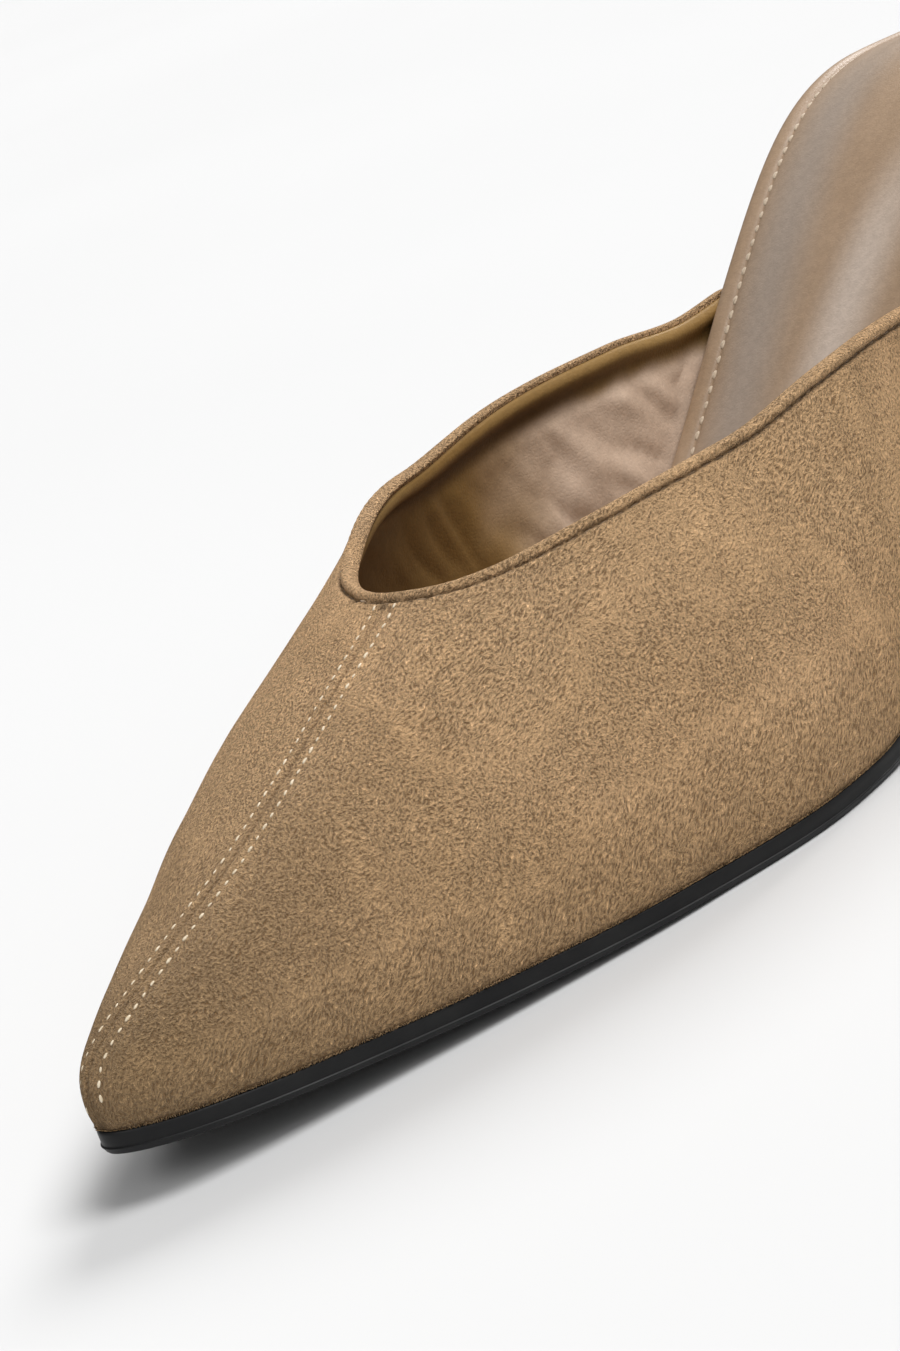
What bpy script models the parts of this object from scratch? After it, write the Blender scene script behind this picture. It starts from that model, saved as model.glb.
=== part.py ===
# A right-foot pointed mule pump: lasted upper, outsole, insole, covered heel and heel tip.
# +X runs towards the toe, +Y to the inner (medial) side, +Z up from the floor.
# The origin is the middle of the heel tip, on the floor.
import math
from collections import namedtuple

import bmesh
import bpy
import numpy as np

MM = 0.001

# Driving sizes of the last
LAST_LENGTH = 262 * MM  # back of the seat to the toe point, along the floor
BALL_WIDTH = 75.4 * MM  # across the feather line at the ball
HEEL_HEIGHT = 64 * MM  # floor to the underside of the sole line at the seat
TOE_SPRING = 7 * MM  # lift of the toe point off the floor
THROAT_HEIGHT = 44.4 * MM  # ridge of the vamp above the feather line, at the throat
INNER_FULLNESS = 2.6 * MM  # swell of the vamp's flank beyond a plain arch, at the throat
OUTER_FULLNESS = 3.5 * MM
TOE_ROUNDNESS = 0.82  # power of the section's arch: 1 is an ellipse, less is squarer
THROAT_ROUNDNESS = 1.03
VAMP_LENGTH = 69 * MM  # toe point to throat
INNER_WING_LENGTH = 185 * MM  # toe point to the end of the inner wing
OUTER_WING_LENGTH = 190 * MM  # toe point to the end of the outer wing

# Sizes of the pieces
UPPER_WALL = 1.8 * MM  # suede, reinforcement and lining together
BEAD_WIDTH = 1.7 * MM  # rolled edge along the topline
BEAD_HEIGHT = 0.45 * MM
GROOVE_DEPTH = 0.3 * MM  # stitched groove under the bead
LIP_RISE = 0.5 * MM  # rounding of the topline's edge
SEAM_DEPTH = 0.35 * MM  # dip of the closing seam down the vamp
FEATHER_TUCK = 0.4 * MM  # how far the suede draws in over its lowest few millimetres
TUCK_HEIGHT = 3.2 * MM
SOLE_EDGE = 3.0 * MM  # outsole thickness at the forefoot
WAIST_EDGE = 2.4 * MM  # outsole thickness at the waist
WAIST_INSET = 2.8 * MM  # outsole and heel inside the feather line, once the wings have ended
WAIST_RUN = 16 * MM  # length over which that inset is reached
THINNING_RUN = 52 * MM  # length over which the outsole thins behind the tread
SOLE_BEVEL = 0.8 * MM
LINE_DEPTH = 0.25 * MM  # fine line scored round the sole edge
LINE_WIDTH = 0.3 * MM
LINE_HEIGHT = 1.25 * MM  # above the sole's underside
INSOLE_EDGE = 3.6 * MM
RIM_WIDTH = 4.0 * MM  # rolled rim outside the insole's stitching
RIM_DIP = 0.5 * MM  # stitched channel inside the rim
PAD_CROWN = 0.7 * MM  # padding above the rim
HEEL_SET = 17 * MM  # back of the seat to the middle of the heel tip
HEEL_BREAST = 52 * MM  # back of the seat to the front of the heel
BREAST_SQUARENESS = 0.3  # 1 rounds the heel's front, less makes it squarer
TIP_LENGTH = 17 * MM
TIP_WIDTH = 16 * MM
TIP_THICKNESS = 5.5 * MM
TIP_BEVEL = 0.6 * MM
TIP_SQUARENESS = 2.6  # 2 is an ellipse, more is squarer
FIT_GAP = 0.3 * MM  # between pieces that bear on each other

# Shares of the last's length, from the toe: the flat of the tread and where the seat turns level
TREAD_START = 0.37
TREAD_END = 0.42
SEAT_LEVEL = 0.905

# Mesh fineness
SEAM_STEPS = 13
TOPLINE_STEPS = 24
WALL_STEPS = 7
SEAM_RAKE = 0.86  # how far back the mesh line below the throat starts, as a share of the vamp
OUTLINE_STEPS = 58
HEEL_STEPS = 40

Outline = namedtuple("Outline", "at inner outer")
Ridge = namedtuple("Ridge", "at rise shift")
Topline = namedtuple("Topline", "at inner outer")
HeelRing = namedtuple("HeelRing", "down back front side")
InsoleRing = namedtuple("InsoleRing", "inset edge dip crown")

# Feather line: share of the last's length from the toe, then half widths as shares of the ball width
OUTLINE = (
    Outline(0.000, 0.000, 0.000),
    Outline(0.008, 0.059, 0.048),
    Outline(0.023, 0.104, 0.087),
    Outline(0.053, 0.158, 0.152),
    Outline(0.107, 0.230, 0.256),
    Outline(0.191, 0.338, 0.395),
    Outline(0.290, 0.448, 0.469),
    Outline(0.389, 0.517, 0.487),
    Outline(0.496, 0.482, 0.442),
    Outline(0.611, 0.398, 0.369),
    Outline(0.725, 0.360, 0.382),
    Outline(0.840, 0.383, 0.404),
    Outline(0.905, 0.374, 0.392),
    Outline(0.948, 0.332, 0.346),
    Outline(0.976, 0.254, 0.262),
    Outline(0.992, 0.154, 0.158),
    Outline(1.000, 0.000, 0.000),
)
# Ridge of the last: share of the vamp length, height as a share of the throat height,
# and shift to the inner side as a share of the ball width
RIDGE = (
    Ridge(0.00, 0.068, 0.000),
    Ridge(0.015, 0.162, 0.002),
    Ridge(0.045, 0.214, 0.006),
    Ridge(0.116, 0.290, 0.018),
    Ridge(0.29, 0.437, 0.045),
    Ridge(0.58, 0.683, 0.082),
    Ridge(0.87, 0.912, 0.080),
    Ridge(1.00, 1.000, 0.073),
    Ridge(1.23, 1.162, 0.058),
    Ridge(1.60, 1.513, 0.039),
    Ridge(1.88, 1.820, 0.039),
    Ridge(2.32, 2.250, 0.039),
    Ridge(2.75, 2.540, 0.039),
)
# Topline: share of the way from the throat to the wing's end, then how far down the section it
# lies on each side, from 0 on the ridge to 1 on the feather line
TOPLINE = (
    Topline(0.00, 0.000, 0.000),
    Topline(0.02, 0.148, 0.112),
    Topline(0.06, 0.232, 0.195),
    Topline(0.15, 0.334, 0.302),
    Topline(0.30, 0.468, 0.457),
    Topline(0.50, 0.611, 0.625),
    Topline(0.75, 0.808, 0.829),
    Topline(0.90, 0.927, 0.941),
    Topline(1.00, 0.990, 0.996),
)
# Heel below the seat: share of the way down, then back, front and half width,
# each as a share of the way from the seat's outline (0) to the tip's (1)
HEEL_RINGS = (
    HeelRing(0.00, 0.00, 0.00, 0.00),
    HeelRing(0.07, 0.05, 0.12, 0.10),
    HeelRing(0.18, 0.16, 0.36, 0.31),
    HeelRing(0.32, 0.33, 0.62, 0.57),
    HeelRing(0.48, 0.52, 0.82, 0.80),
    HeelRing(0.66, 0.72, 0.95, 0.95),
    HeelRing(0.84, 0.90, 1.01, 1.02),
    HeelRing(1.00, 1.00, 1.00, 1.00),
)
# Insole from its underside to its middle: distance in from its edge as a share of the rim's width,
# then shares of the edge's height, the channel's dip and the padding's crown
INSOLE_RINGS = (
    InsoleRing(0.20, 0.00, 0.0, 0.0),
    InsoleRing(0.00, 0.35, 0.0, 0.0),
    InsoleRing(0.03, 0.70, 0.0, 0.0),
    InsoleRing(0.20, 0.94, 0.0, 0.0),
    InsoleRing(0.50, 1.00, 0.0, 0.0),
    InsoleRing(1.00, 1.00, 1.0, 0.0),
    InsoleRing(1.60, 1.00, 0.0, 0.4),
    InsoleRing(3.20, 1.00, 0.0, 1.0),
)


def smooth_curve(places, values):
    """A smooth function through the points that never overshoots them."""
    places, values = np.array(places, float), np.array(values, float)
    width = np.diff(places)
    rise = np.diff(values) / width
    slope = np.concatenate([[rise[0]], np.zeros(len(width) - 1), [rise[-1]]])
    before, after = rise[:-1], rise[1:]
    same_way = before * after > 0
    weight_a, weight_b = 2 * width[1:] + width[:-1], width[1:] + 2 * width[:-1]
    mean = (weight_a + weight_b) / (
        weight_a / np.where(same_way, before, 1) + weight_b / np.where(same_way, after, 1)
    )
    slope[1:-1] = np.where(same_way, mean, 0)

    def value(at):
        at = np.clip(np.asarray(at, float), places[0], places[-1])
        cell = np.clip(np.searchsorted(places, at, side="right") - 1, 0, len(width) - 1)
        t = (at - places[cell]) / width[cell]
        return (
            values[cell] * (1 + 2 * t) * (1 - t) ** 2
            + slope[cell] * width[cell] * t * (1 - t) ** 2
            + values[cell + 1] * t**2 * (3 - 2 * t)
            + slope[cell + 1] * width[cell] * t**2 * (t - 1)
        )

    return value


def round_place(share):
    """Spreads shares so that a curve that leaves 0 or 1 in a straight line comes out round."""
    return np.arccos(1 - 2 * np.clip(share, 0, 1)) / math.pi


OUTLINE_PLACES = [round_place(row.at) for row in OUTLINE]
inner_half = smooth_curve(OUTLINE_PLACES, [row.inner * BALL_WIDTH for row in OUTLINE])
outer_half = smooth_curve(OUTLINE_PLACES, [row.outer * BALL_WIDTH for row in OUTLINE])
RIDGE_PLACES = [math.sqrt(row.at) for row in RIDGE]
ridge_rise = smooth_curve(RIDGE_PLACES, [row.rise * THROAT_HEIGHT for row in RIDGE])
ridge_shift = smooth_curve(RIDGE_PLACES, [row.shift * BALL_WIDTH for row in RIDGE])
TOPLINE_PLACES = [math.sqrt(row.at) for row in TOPLINE]
inner_topline = smooth_curve(TOPLINE_PLACES, [row.inner for row in TOPLINE])
outer_topline = smooth_curve(TOPLINE_PLACES, [row.outer for row in TOPLINE])


def x_at(from_toe):
    """Place along X of a distance measured back from the toe point."""
    return LAST_LENGTH - HEEL_SET - np.asarray(from_toe)


def from_toe_at(x):
    return LAST_LENGTH - HEEL_SET - np.asarray(x)


def half_width(from_toe, side):
    """Feather line's distance from the centre line: side is +1 for inner, -1 for outer."""
    place = round_place(np.asarray(from_toe) / LAST_LENGTH)
    return np.where(np.asarray(side) > 0, inner_half(place), outer_half(place))


def tread(from_toe):
    """Height of the sole line's underside: toe spring, flat tread, arch and level seat."""
    share = np.asarray(from_toe) / LAST_LENGTH
    spring = np.clip((TREAD_START - share) / TREAD_START, 0, 1) ** 2 * TOE_SPRING
    climb = np.clip((share - TREAD_END) / (SEAT_LEVEL - TREAD_END), 0, 1)
    return spring + HEEL_HEIGHT * climb**2 * (3 - 2 * climb)


def feather(from_toe):
    """Height of the feather line, where the upper and insole meet the top of the sole."""
    return tread(from_toe) + SOLE_EDGE


def last_point(from_toe, down):
    """A point on the lasted surface. down runs from 0 on the ridge to +1 on the inner feather
    line and -1 on the outer one."""
    from_toe, down = np.broadcast_arrays(np.asarray(from_toe, float), np.asarray(down, float))
    side = np.where(down >= 0, 1.0, -1.0)
    angle = np.abs(down) * math.pi / 2
    roundness = np.interp(from_toe, [0, VAMP_LENGTH], [TOE_ROUNDNESS, THROAT_ROUNDNESS])
    swell = np.where(side > 0, INNER_FULLNESS, OUTER_FULLNESS)
    fullness = swell * np.clip(from_toe / VAMP_LENGTH, 0, 1)
    place = np.sqrt(from_toe / VAMP_LENGTH)
    centre = ridge_shift(place)
    reach = side * half_width(from_toe, side) - centre
    y = centre + reach * np.sin(angle) ** roundness + side * fullness * np.sin(2 * angle)
    climb = np.clip(np.cos(angle), 0, 1) ** roundness
    return np.stack([x_at(from_toe), y, feather(from_toe) + ridge_rise(place) * climb], -1)


def spread(count, power):
    return (np.arange(count + 1) / count) ** power


def edge_path(side):
    """Stations of one panel's upper edge, up the closing seam and back along the topline, each
    with the feather-line station below it. Returns the edge's distances from the toe, how far
    down the section it lies, the feather stations' distances and the number of seam stations."""
    wing = INNER_WING_LENGTH if side > 0 else OUTER_WING_LENGTH
    level = inner_topline if side > 0 else outer_topline
    near_throat = np.array([1.5, 1.0, 0.5, 0.0]) * BEAD_WIDTH
    seam = np.concatenate([spread(SEAM_STEPS, 1.7) * (VAMP_LENGTH - 2 * BEAD_WIDTH),
                           VAMP_LENGTH - near_throat])
    below_throat = SEAM_RAKE * VAMP_LENGTH
    seam_feather = below_throat * seam / VAMP_LENGTH
    back = spread(TOPLINE_STEPS, 1.9)[1:]
    topline = VAMP_LENGTH + back * (wing - VAMP_LENGTH)
    back_feather = below_throat + spread(TOPLINE_STEPS, 1.15)[1:] * (wing - below_throat)
    return (
        np.concatenate([seam, topline]),
        np.concatenate([np.zeros(len(seam)), side * level(np.sqrt(back))]),
        np.concatenate([seam_feather, back_feather]),
        len(seam),
    )


def panel_rows(length):
    """Distances from a panel's upper edge to its rows, down to the feather line."""
    bead = np.array([0.0, 0.5, 1.0, 1.25, 1.6]) * BEAD_WIDTH
    tuck = np.array([0.8, 0.35, 0.0]) * TUCK_HEIGHT
    full = bead[-1] + tuck[0] + 2 * BEAD_WIDTH
    scale = min(1.0, length / full)
    top, foot = bead * scale, length - tuck * scale
    middle = np.linspace(top[-1], foot[0], WALL_STEPS + 1)[1:-1]
    return np.concatenate([top, middle, foot])


def panel_grid(side):
    """Points of one panel, station by station, and the number of stations on the seam."""
    edge, edge_down, foot, on_seam = edge_path(side)
    fine = np.linspace(0, 1, 121)
    grid = []
    for a, down, b in zip(edge, edge_down, foot):
        line = last_point(a + (b - a) * fine, down + (side - down) * fine)
        travelled = np.concatenate([[0], np.cumsum(np.linalg.norm(np.diff(line, axis=0), axis=1))])
        at = panel_rows(travelled[-1])
        grid.append(np.stack([np.interp(at, travelled, line[:, k]) for k in range(3)], -1))
    return np.array(grid), on_seam


def distance_to_path(points, path):
    """Shortest distance from each point to a line of points."""
    start, step = path[:-1], np.diff(path, axis=0)
    reach = np.maximum((step**2).sum(1), 1e-18)
    along = ((points[:, None] - start) * step).sum(2) / reach
    near = start + np.clip(along, 0, 1)[..., None] * step
    return np.linalg.norm(points[:, None] - near, axis=2).min(1)


def wall_relief(points, seam, topline):
    """How far the outer face stands off the last: bead and groove at the topline, dip along the
    closing seam, and tuck at the feather line."""
    edge = distance_to_path(points, topline) / BEAD_WIDTH
    bead = np.interp(edge, [0, 0.5, 1.0, 1.25, 1.6], [0.5, 1.0, 0.6, 0.0, 0.0]) * BEAD_HEIGHT
    groove = np.interp(edge, [0.9, 1.25, 1.6], [0, 1, 0]) * GROOVE_DEPTH
    dip = np.interp(distance_to_path(points, seam) / BEAD_WIDTH, [0, 0.5], [1, 0]) * SEAM_DEPTH
    dip *= np.interp(edge, [0.9, 2.2], [0, 1])
    up = np.clip((points[:, 2] - feather(from_toe_at(points[:, 0]))) / TUCK_HEIGHT, 0, 1)
    return bead - groove - dip - (1 - up) ** 2 * FEATHER_TUCK


def welded_panels(inner, outer, on_seam):
    """Both panels' points in one list, sharing those of the closing seam, and for each panel,
    station and row the number of its point."""
    index = np.zeros((2, *inner.shape[:2]), int)
    points = []
    for panel, grid in enumerate((inner, outer)):
        for i, station in enumerate(grid):
            for j, point in enumerate(station):
                if panel == 1 and (i == 0 or (j == 0 and i < on_seam)):
                    index[panel, i, j] = index[0, i, j]
                else:
                    index[panel, i, j] = len(points)
                    points.append(point)
    return np.array(points), index


def skin_faces(index):
    """Quads over both panels, facing outwards."""
    faces = []
    for panel, turn in ((0, -1), (1, 1)):
        at = index[panel]
        for i in range(at.shape[0] - 1):
            for j in range(at.shape[1] - 1):
                quad = [int(at[i, j]), int(at[i + 1, j]), int(at[i + 1, j + 1]), int(at[i, j + 1])]
                faces.append(quad[::turn])
    return faces


def upper_mesh():
    """The lasted upper: two panels closed by one seam, with an inner face one wall inside."""
    inner, on_seam = panel_grid(1)
    outer, _ = panel_grid(-1)
    points, index = welded_panels(inner, outer, on_seam)
    skin = skin_faces(index)
    normals = point_normals(points, skin)
    seam = np.concatenate([inner[0, ::-1], inner[:on_seam, 0]])
    topline = np.concatenate([outer[: on_seam - 2 : -1, 0], inner[on_seam:, 0]])
    face = points + normals * wall_relief(points, seam, topline)[:, None]
    lining = points - normals * UPPER_WALL
    stand_on_feather(face, lining, normals, np.unique(index[:, :, -1]))
    shell = [list(p) for p in np.concatenate([face, lining])]
    count = len(points)
    closed = list(skin)
    closed += [[v + count for v in quad[::-1]] for quad in skin]
    lip = shell_lip(shell, face, lining, index, on_seam)
    for panel, turn in ((0, 1), (1, -1)):
        foot, end = index[panel, :, -1].tolist(), index[panel, -1].tolist()
        for a, b in zip(foot, foot[1:]):
            closed.append([a, b, b + count, a + count][::turn])
        for a, b in zip(end, end[1:]):
            closed.append([b, a, a + count, b + count][::turn])
    for (a, a_lip), (b, b_lip) in zip(lip, lip[1:]):
        closed.append([a, b, b_lip, a_lip])
        closed.append([a_lip, b_lip, b + count, a + count])
    for (a, a_lip), turn in ((lip[0], 1), (lip[-1], -1)):
        closed.append([a, a_lip, a + count][::turn])
    return shell, closed


def shell_lip(shell, face, lining, index, on_seam):
    """Rounds the topline: one point over the middle of the wall at each station. Returns pairs of
    (outer face point, lip point) from the outer wing's end round to the inner one's."""
    pairs = []
    stations = [(1, i) for i in range(index.shape[1] - 1, on_seam - 1, -1)]
    stations += [(0, i) for i in range(on_seam - 1, index.shape[1])]
    for s, i in stations:
        top, below = int(index[s, i, 0]), int(index[s, i, 1])
        if s == 0 and i == on_seam - 1:
            below = int(index[0, i - 1, 0])
        rise = face[top] - face[below]
        rise /= max(np.linalg.norm(rise), 1e-9)
        at_end = i == index.shape[1] - 1
        lift = LIP_RISE / 2 if at_end else LIP_RISE
        middle = (face[top] + lining[top]) / 2 + rise * lift
        shell.append(list(middle))
        pairs.append((top, len(shell) - 1))
    return pairs


def stand_on_feather(face, lining, normals, foot):
    """Puts both faces' lowest points on the sole line, a fit gap above the sole, with the wall's
    full thickness between them."""
    for v in foot:
        flat = normals[v] * np.array([1, 1, 0])
        flat /= max(np.linalg.norm(flat), 1e-9)
        lining[v] = face[v] - flat * (UPPER_WALL - FEATHER_TUCK)
        for side in (face, lining):
            side[v, 2] = feather(from_toe_at(side[v, 0])) + FIT_GAP


def point_normals(points, faces):
    """Outward unit normals at the points of a skin of quads."""
    normals = np.zeros_like(points)
    for q in faces:
        a, b, c, d = points[q]
        n = np.cross(c - a, d - b)
        for v in q:
            normals[v] += n
    return normals / np.maximum(np.linalg.norm(normals, axis=1), 1e-12)[:, None]


def feather_loop():
    """The feather line once round: toe point, inner side, back of the seat, outer side."""
    share = (1 - np.cos(np.linspace(0, math.pi, OUTLINE_STEPS + 1))) / 2
    share = np.sort(np.concatenate([share, [TREAD_START, TREAD_END, 0.0015, 0.9985]]))
    from_toe = share * LAST_LENGTH
    inner = np.stack([x_at(from_toe), half_width(from_toe, 1)], -1)
    outer = np.stack([x_at(from_toe), -half_width(from_toe, -1)], -1)
    return np.concatenate([inner, outer[-2:0:-1]])


def drawn_in(loop, inset):
    """The loop moved inwards by inset, one value or one for each point."""
    ahead, behind = np.roll(loop, -1, 0), np.roll(loop, 1, 0)
    run = ahead - behind
    run /= np.linalg.norm(run, axis=1)[:, None]
    outward = np.stack([run[:, 1], -run[:, 0]], -1)
    inset = np.broadcast_to(np.asarray(inset, float), len(loop))
    return loop - outward * inset[:, None]


def plate_mesh(rings):
    """A closed plate from rings stacked upwards, its ends bridged straight across from side to
    side. Every ring has the same even count, starting at the toe."""
    count = len(rings[0])
    points = [list(p) for ring in rings for p in ring]
    faces = []
    for k in range(len(rings) - 1):
        low, high = k * count, (k + 1) * count
        for i in range(count):
            j = (i + 1) % count
            faces.append([low + j, low + i, high + i, high + j])
    for start, turn in ((0, 1), ((len(rings) - 1) * count, -1)):
        half = count // 2
        for i in range(half):
            a, b = i, i + 1
            c, d = (count - i - 1) % count, (count - i) % count
            corners = []
            for v in (a, b, c, d):
                if start + v not in corners:
                    corners.append(start + v)
            if len(corners) > 2:
                faces.append(corners[::turn])
    return points, faces


def after_wings(from_toe):
    """0 in front of the wings' ends, 1 once the waist is clear of them."""
    wing = max(INNER_WING_LENGTH, OUTER_WING_LENGTH)
    t = np.clip((np.asarray(from_toe) - wing) / WAIST_RUN, 0, 1)
    return t * t * (3 - 2 * t)


def sole_edge(from_toe):
    """Outsole thickness, thinner through the waist than under the ball."""
    t = np.clip((np.asarray(from_toe) - TREAD_END * LAST_LENGTH) / THINNING_RUN, 0, 1)
    return SOLE_EDGE + (WAIST_EDGE - SOLE_EDGE) * t * t * (3 - 2 * t)


def outsole_mesh():
    """The outsole, from the toe to the heel's breast, with a bevel and a scored line."""
    loop = feather_loop()
    edge = WAIST_INSET * after_wings(from_toe_at(loop[:, 0]))
    breast = x_at(LAST_LENGTH - HEEL_BREAST - FIT_GAP)

    def ring(inset, up):
        flat = drawn_in(loop, edge + inset)
        flat[:, 0] = np.maximum(flat[:, 0], breast)
        at = from_toe_at(flat[:, 0])
        return np.column_stack([flat, feather(at) - sole_edge(at) * (1 - up / SOLE_EDGE)])

    rings = [
        ring(SOLE_BEVEL, 0),
        ring(0, SOLE_BEVEL),
        ring(0, LINE_HEIGHT - LINE_WIDTH / 2),
        ring(LINE_DEPTH, LINE_HEIGHT),
        ring(0, LINE_HEIGHT + LINE_WIDTH / 2),
        ring(0, SOLE_EDGE),
    ]
    return plate_mesh(squared_off(rings, breast))


def squared_off(rings, x):
    """Drops the stations that a straight end at x has swallowed, keeping the first on each side."""
    count = len(rings[0])
    lowest, highest = rings[0], rings[-1]
    last = next(i for i in range(count // 2) if max(lowest[i][0], highest[i][0]) <= x)
    keep = list(range(last + 1)) + list(range(count - last, count))
    return [ring[keep] for ring in rings]


def insole_mesh():
    """The covered insole: wrapped edge, rolled rim, stitched channel and a padded middle."""
    loop = feather_loop()
    clearance = UPPER_WALL + 2 * FIT_GAP
    narrowing = slim_toe(loop)
    rings = []
    for row in INSOLE_RINGS:
        flat = drawn_in(loop, clearance + row.inset * RIM_WIDTH * narrowing)
        up = FIT_GAP + row.edge * INSOLE_EDGE - row.dip * RIM_DIP + row.crown * PAD_CROWN
        rings.append(np.column_stack([flat, feather(from_toe_at(flat[:, 0])) + up]))
    return plate_mesh(rings)


def slim_toe(loop):
    """Shrinks the rim's insets where the insole itself is narrow, so that rings never cross."""
    from_toe = from_toe_at(loop[:, 0])
    narrow = np.minimum(half_width(from_toe, 1), half_width(from_toe, -1))
    widest_inset = 2 * INSOLE_RINGS[-1].inset * RIM_WIDTH
    return np.clip(narrow / widest_inset, 0.05, 1.0)


def around(count):
    """Cosine and sine of equal turns round a loop that starts at its front."""
    angle = np.linspace(0, 2 * math.pi, count, endpoint=False)
    return np.cos(angle), np.sin(angle)


def power_of(value, exponent):
    return np.sign(value) * np.abs(value) ** exponent


def tip_loop(inset=0.0):
    """The heel tip's outline, a rounded rectangle round the origin."""
    cos, sin = around(HEEL_STEPS)
    x = power_of(cos, 2 / TIP_SQUARENESS) * (TIP_LENGTH / 2 - inset)
    y = power_of(sin, 2 / TIP_SQUARENESS) * (TIP_WIDTH / 2 - inset)
    return np.column_stack([x, y])


def seat_loop():
    """The heel's top: the seat's outline behind, closed by the breast in front."""
    outline = drawn_in(feather_loop(), WAIST_INSET)
    half = len(outline) // 2
    behind = slice(half // 2, half + 1)
    inner = outline[: half + 1][behind][::-1]
    outer = np.roll(outline, -1, 0)[::-1][: half + 1][behind][::-1]
    front, back = x_at(LAST_LENGTH - HEEL_BREAST), outline[:, 0].min()
    cos, sin = around(HEEL_STEPS)
    along = power_of(cos, BREAST_SQUARENESS)
    x = (front + back) / 2 + along * (front - back) / 2
    inner_y = np.interp(x, inner[:, 0], inner[:, 1])
    outer_y = np.interp(x, outer[:, 0], outer[:, 1])
    share = np.where(cos > 0, np.abs(sin) ** BREAST_SQUARENESS, 1)
    return np.column_stack([x, np.where(sin >= 0, inner_y, outer_y) * share])


def heel_mesh():
    """The heel: the seat's outline at the top, narrowing to the tip's outline below."""
    seat, tip = seat_loop(), tip_loop()
    foot = TIP_THICKNESS + FIT_GAP
    fore = (1 + around(HEEL_STEPS)[0]) / 2
    rings = []
    for row in reversed(HEEL_RINGS):
        along = row.back + (row.front - row.back) * fore
        x = seat[:, 0] + (tip[:, 0] - seat[:, 0]) * along
        y = seat[:, 1] + (tip[:, 1] - seat[:, 1]) * row.side
        z = foot + (feather(from_toe_at(x)) - foot) * (1 - row.down)
        rings.append(np.column_stack([x, y, z]))
    return plate_mesh(rings)


def heel_tip_mesh():
    """The replaceable tip: a flat pad as wide as the heel's end, with a bevelled foot."""
    levels = ((TIP_BEVEL, 0), (0, TIP_BEVEL), (0, TIP_THICKNESS))
    rings = [np.column_stack([tip_loop(inset), np.full(HEEL_STEPS, z)]) for inset, z in levels]
    return plate_mesh(rings)


def material(name, colour, roughness):
    made = bpy.data.materials.new(name)
    made.use_nodes = True
    surface = made.node_tree.nodes["Principled BSDF"]
    surface.inputs["Base Color"].default_value = (*colour, 1)
    surface.inputs["Roughness"].default_value = roughness
    return made


def add_piece(name, mesh_data, finish, sharp_degrees):
    """Makes one named object from points and faces, closed and shaded smooth."""
    points, faces = mesh_data
    mesh = bpy.data.meshes.new(name)
    mesh.from_pydata([tuple(map(float, p)) for p in points], [], faces)
    work = bmesh.new()
    work.from_mesh(mesh)
    bmesh.ops.recalc_face_normals(work, faces=work.faces)
    if work.calc_volume(signed=True) < 0:
        bmesh.ops.reverse_faces(work, faces=work.faces)
    work.to_mesh(mesh)
    work.free()
    mesh.shade_smooth()
    mesh.set_sharp_from_angle(angle=math.radians(sharp_degrees))
    mesh.materials.append(finish)
    piece = bpy.data.objects.new(name, mesh)
    bpy.context.scene.collection.objects.link(piece)
    return piece


def clear_scene():
    for old in list(bpy.data.objects):
        bpy.data.objects.remove(old)


def main():
    clear_scene()
    suede = material("camel_suede", (0.33, 0.23, 0.14), 0.95)
    rubber = material("black_rubber", (0.012, 0.012, 0.013), 0.5)
    sock = material("taupe_lining_leather", (0.32, 0.24, 0.18), 0.42)
    add_piece("upper", upper_mesh(), suede, 50)
    add_piece("outsole", outsole_mesh(), rubber, 35)
    add_piece("insole", insole_mesh(), sock, 60)
    add_piece("heel", heel_mesh(), suede, 50)
    add_piece("heel_tip", heel_tip_mesh(), rubber, 35)


main()
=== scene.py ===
# %% [markdown]
# # Dressing a pointed mule
#
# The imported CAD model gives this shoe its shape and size: an upper, an insole, an outsole, a
# covered heel and the heel's tip. This lesson gives each of them the finish of the real one:
# brushed suede with a closing seam and its stitches, a rolled topline, a leather-like lining with
# soft wrinkles, a padded insole with a sewn rim, a black rubber sole and a suede-covered heel.
# The last steps add the stitches, a fringe of loose fibres, the floor, the lights and the camera.
#
# Everything is in metres, in the frame of the CAD model: +X towards the toe, +Y to the inner side
# of the foot and +Z up, with the origin under the heel.

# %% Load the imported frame
import math

import bmesh
import bpy
import numpy as np
from mathutils import Matrix, Vector


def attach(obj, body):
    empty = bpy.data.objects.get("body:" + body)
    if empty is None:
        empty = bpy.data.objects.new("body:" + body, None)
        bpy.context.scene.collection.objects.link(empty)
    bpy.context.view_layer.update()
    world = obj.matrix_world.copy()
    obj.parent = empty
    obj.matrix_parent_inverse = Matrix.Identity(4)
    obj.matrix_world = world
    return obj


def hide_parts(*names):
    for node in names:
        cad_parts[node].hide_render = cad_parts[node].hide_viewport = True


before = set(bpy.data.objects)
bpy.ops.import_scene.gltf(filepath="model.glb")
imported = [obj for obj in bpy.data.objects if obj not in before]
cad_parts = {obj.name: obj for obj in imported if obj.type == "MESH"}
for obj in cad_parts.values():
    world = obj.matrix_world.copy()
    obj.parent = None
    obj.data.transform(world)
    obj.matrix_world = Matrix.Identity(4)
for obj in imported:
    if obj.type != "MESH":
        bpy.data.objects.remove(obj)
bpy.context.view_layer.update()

MM = 0.001

# %% [markdown]
# ## The last, in numbers
#
# A shoe takes its shape from a last, the block it is pulled over. The CAD model was made from a
# few sizes of such a last and some short tables, and smooth curves between them. The pieces here
# have to lie exactly where the CAD's do but need many more points, so the same sizes and tables
# stand here, and the surfaces are worked out from them again, finely. Reading the points of the
# CAD mesh and smoothing those would be the other way, but its facets would stay visible.

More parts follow.
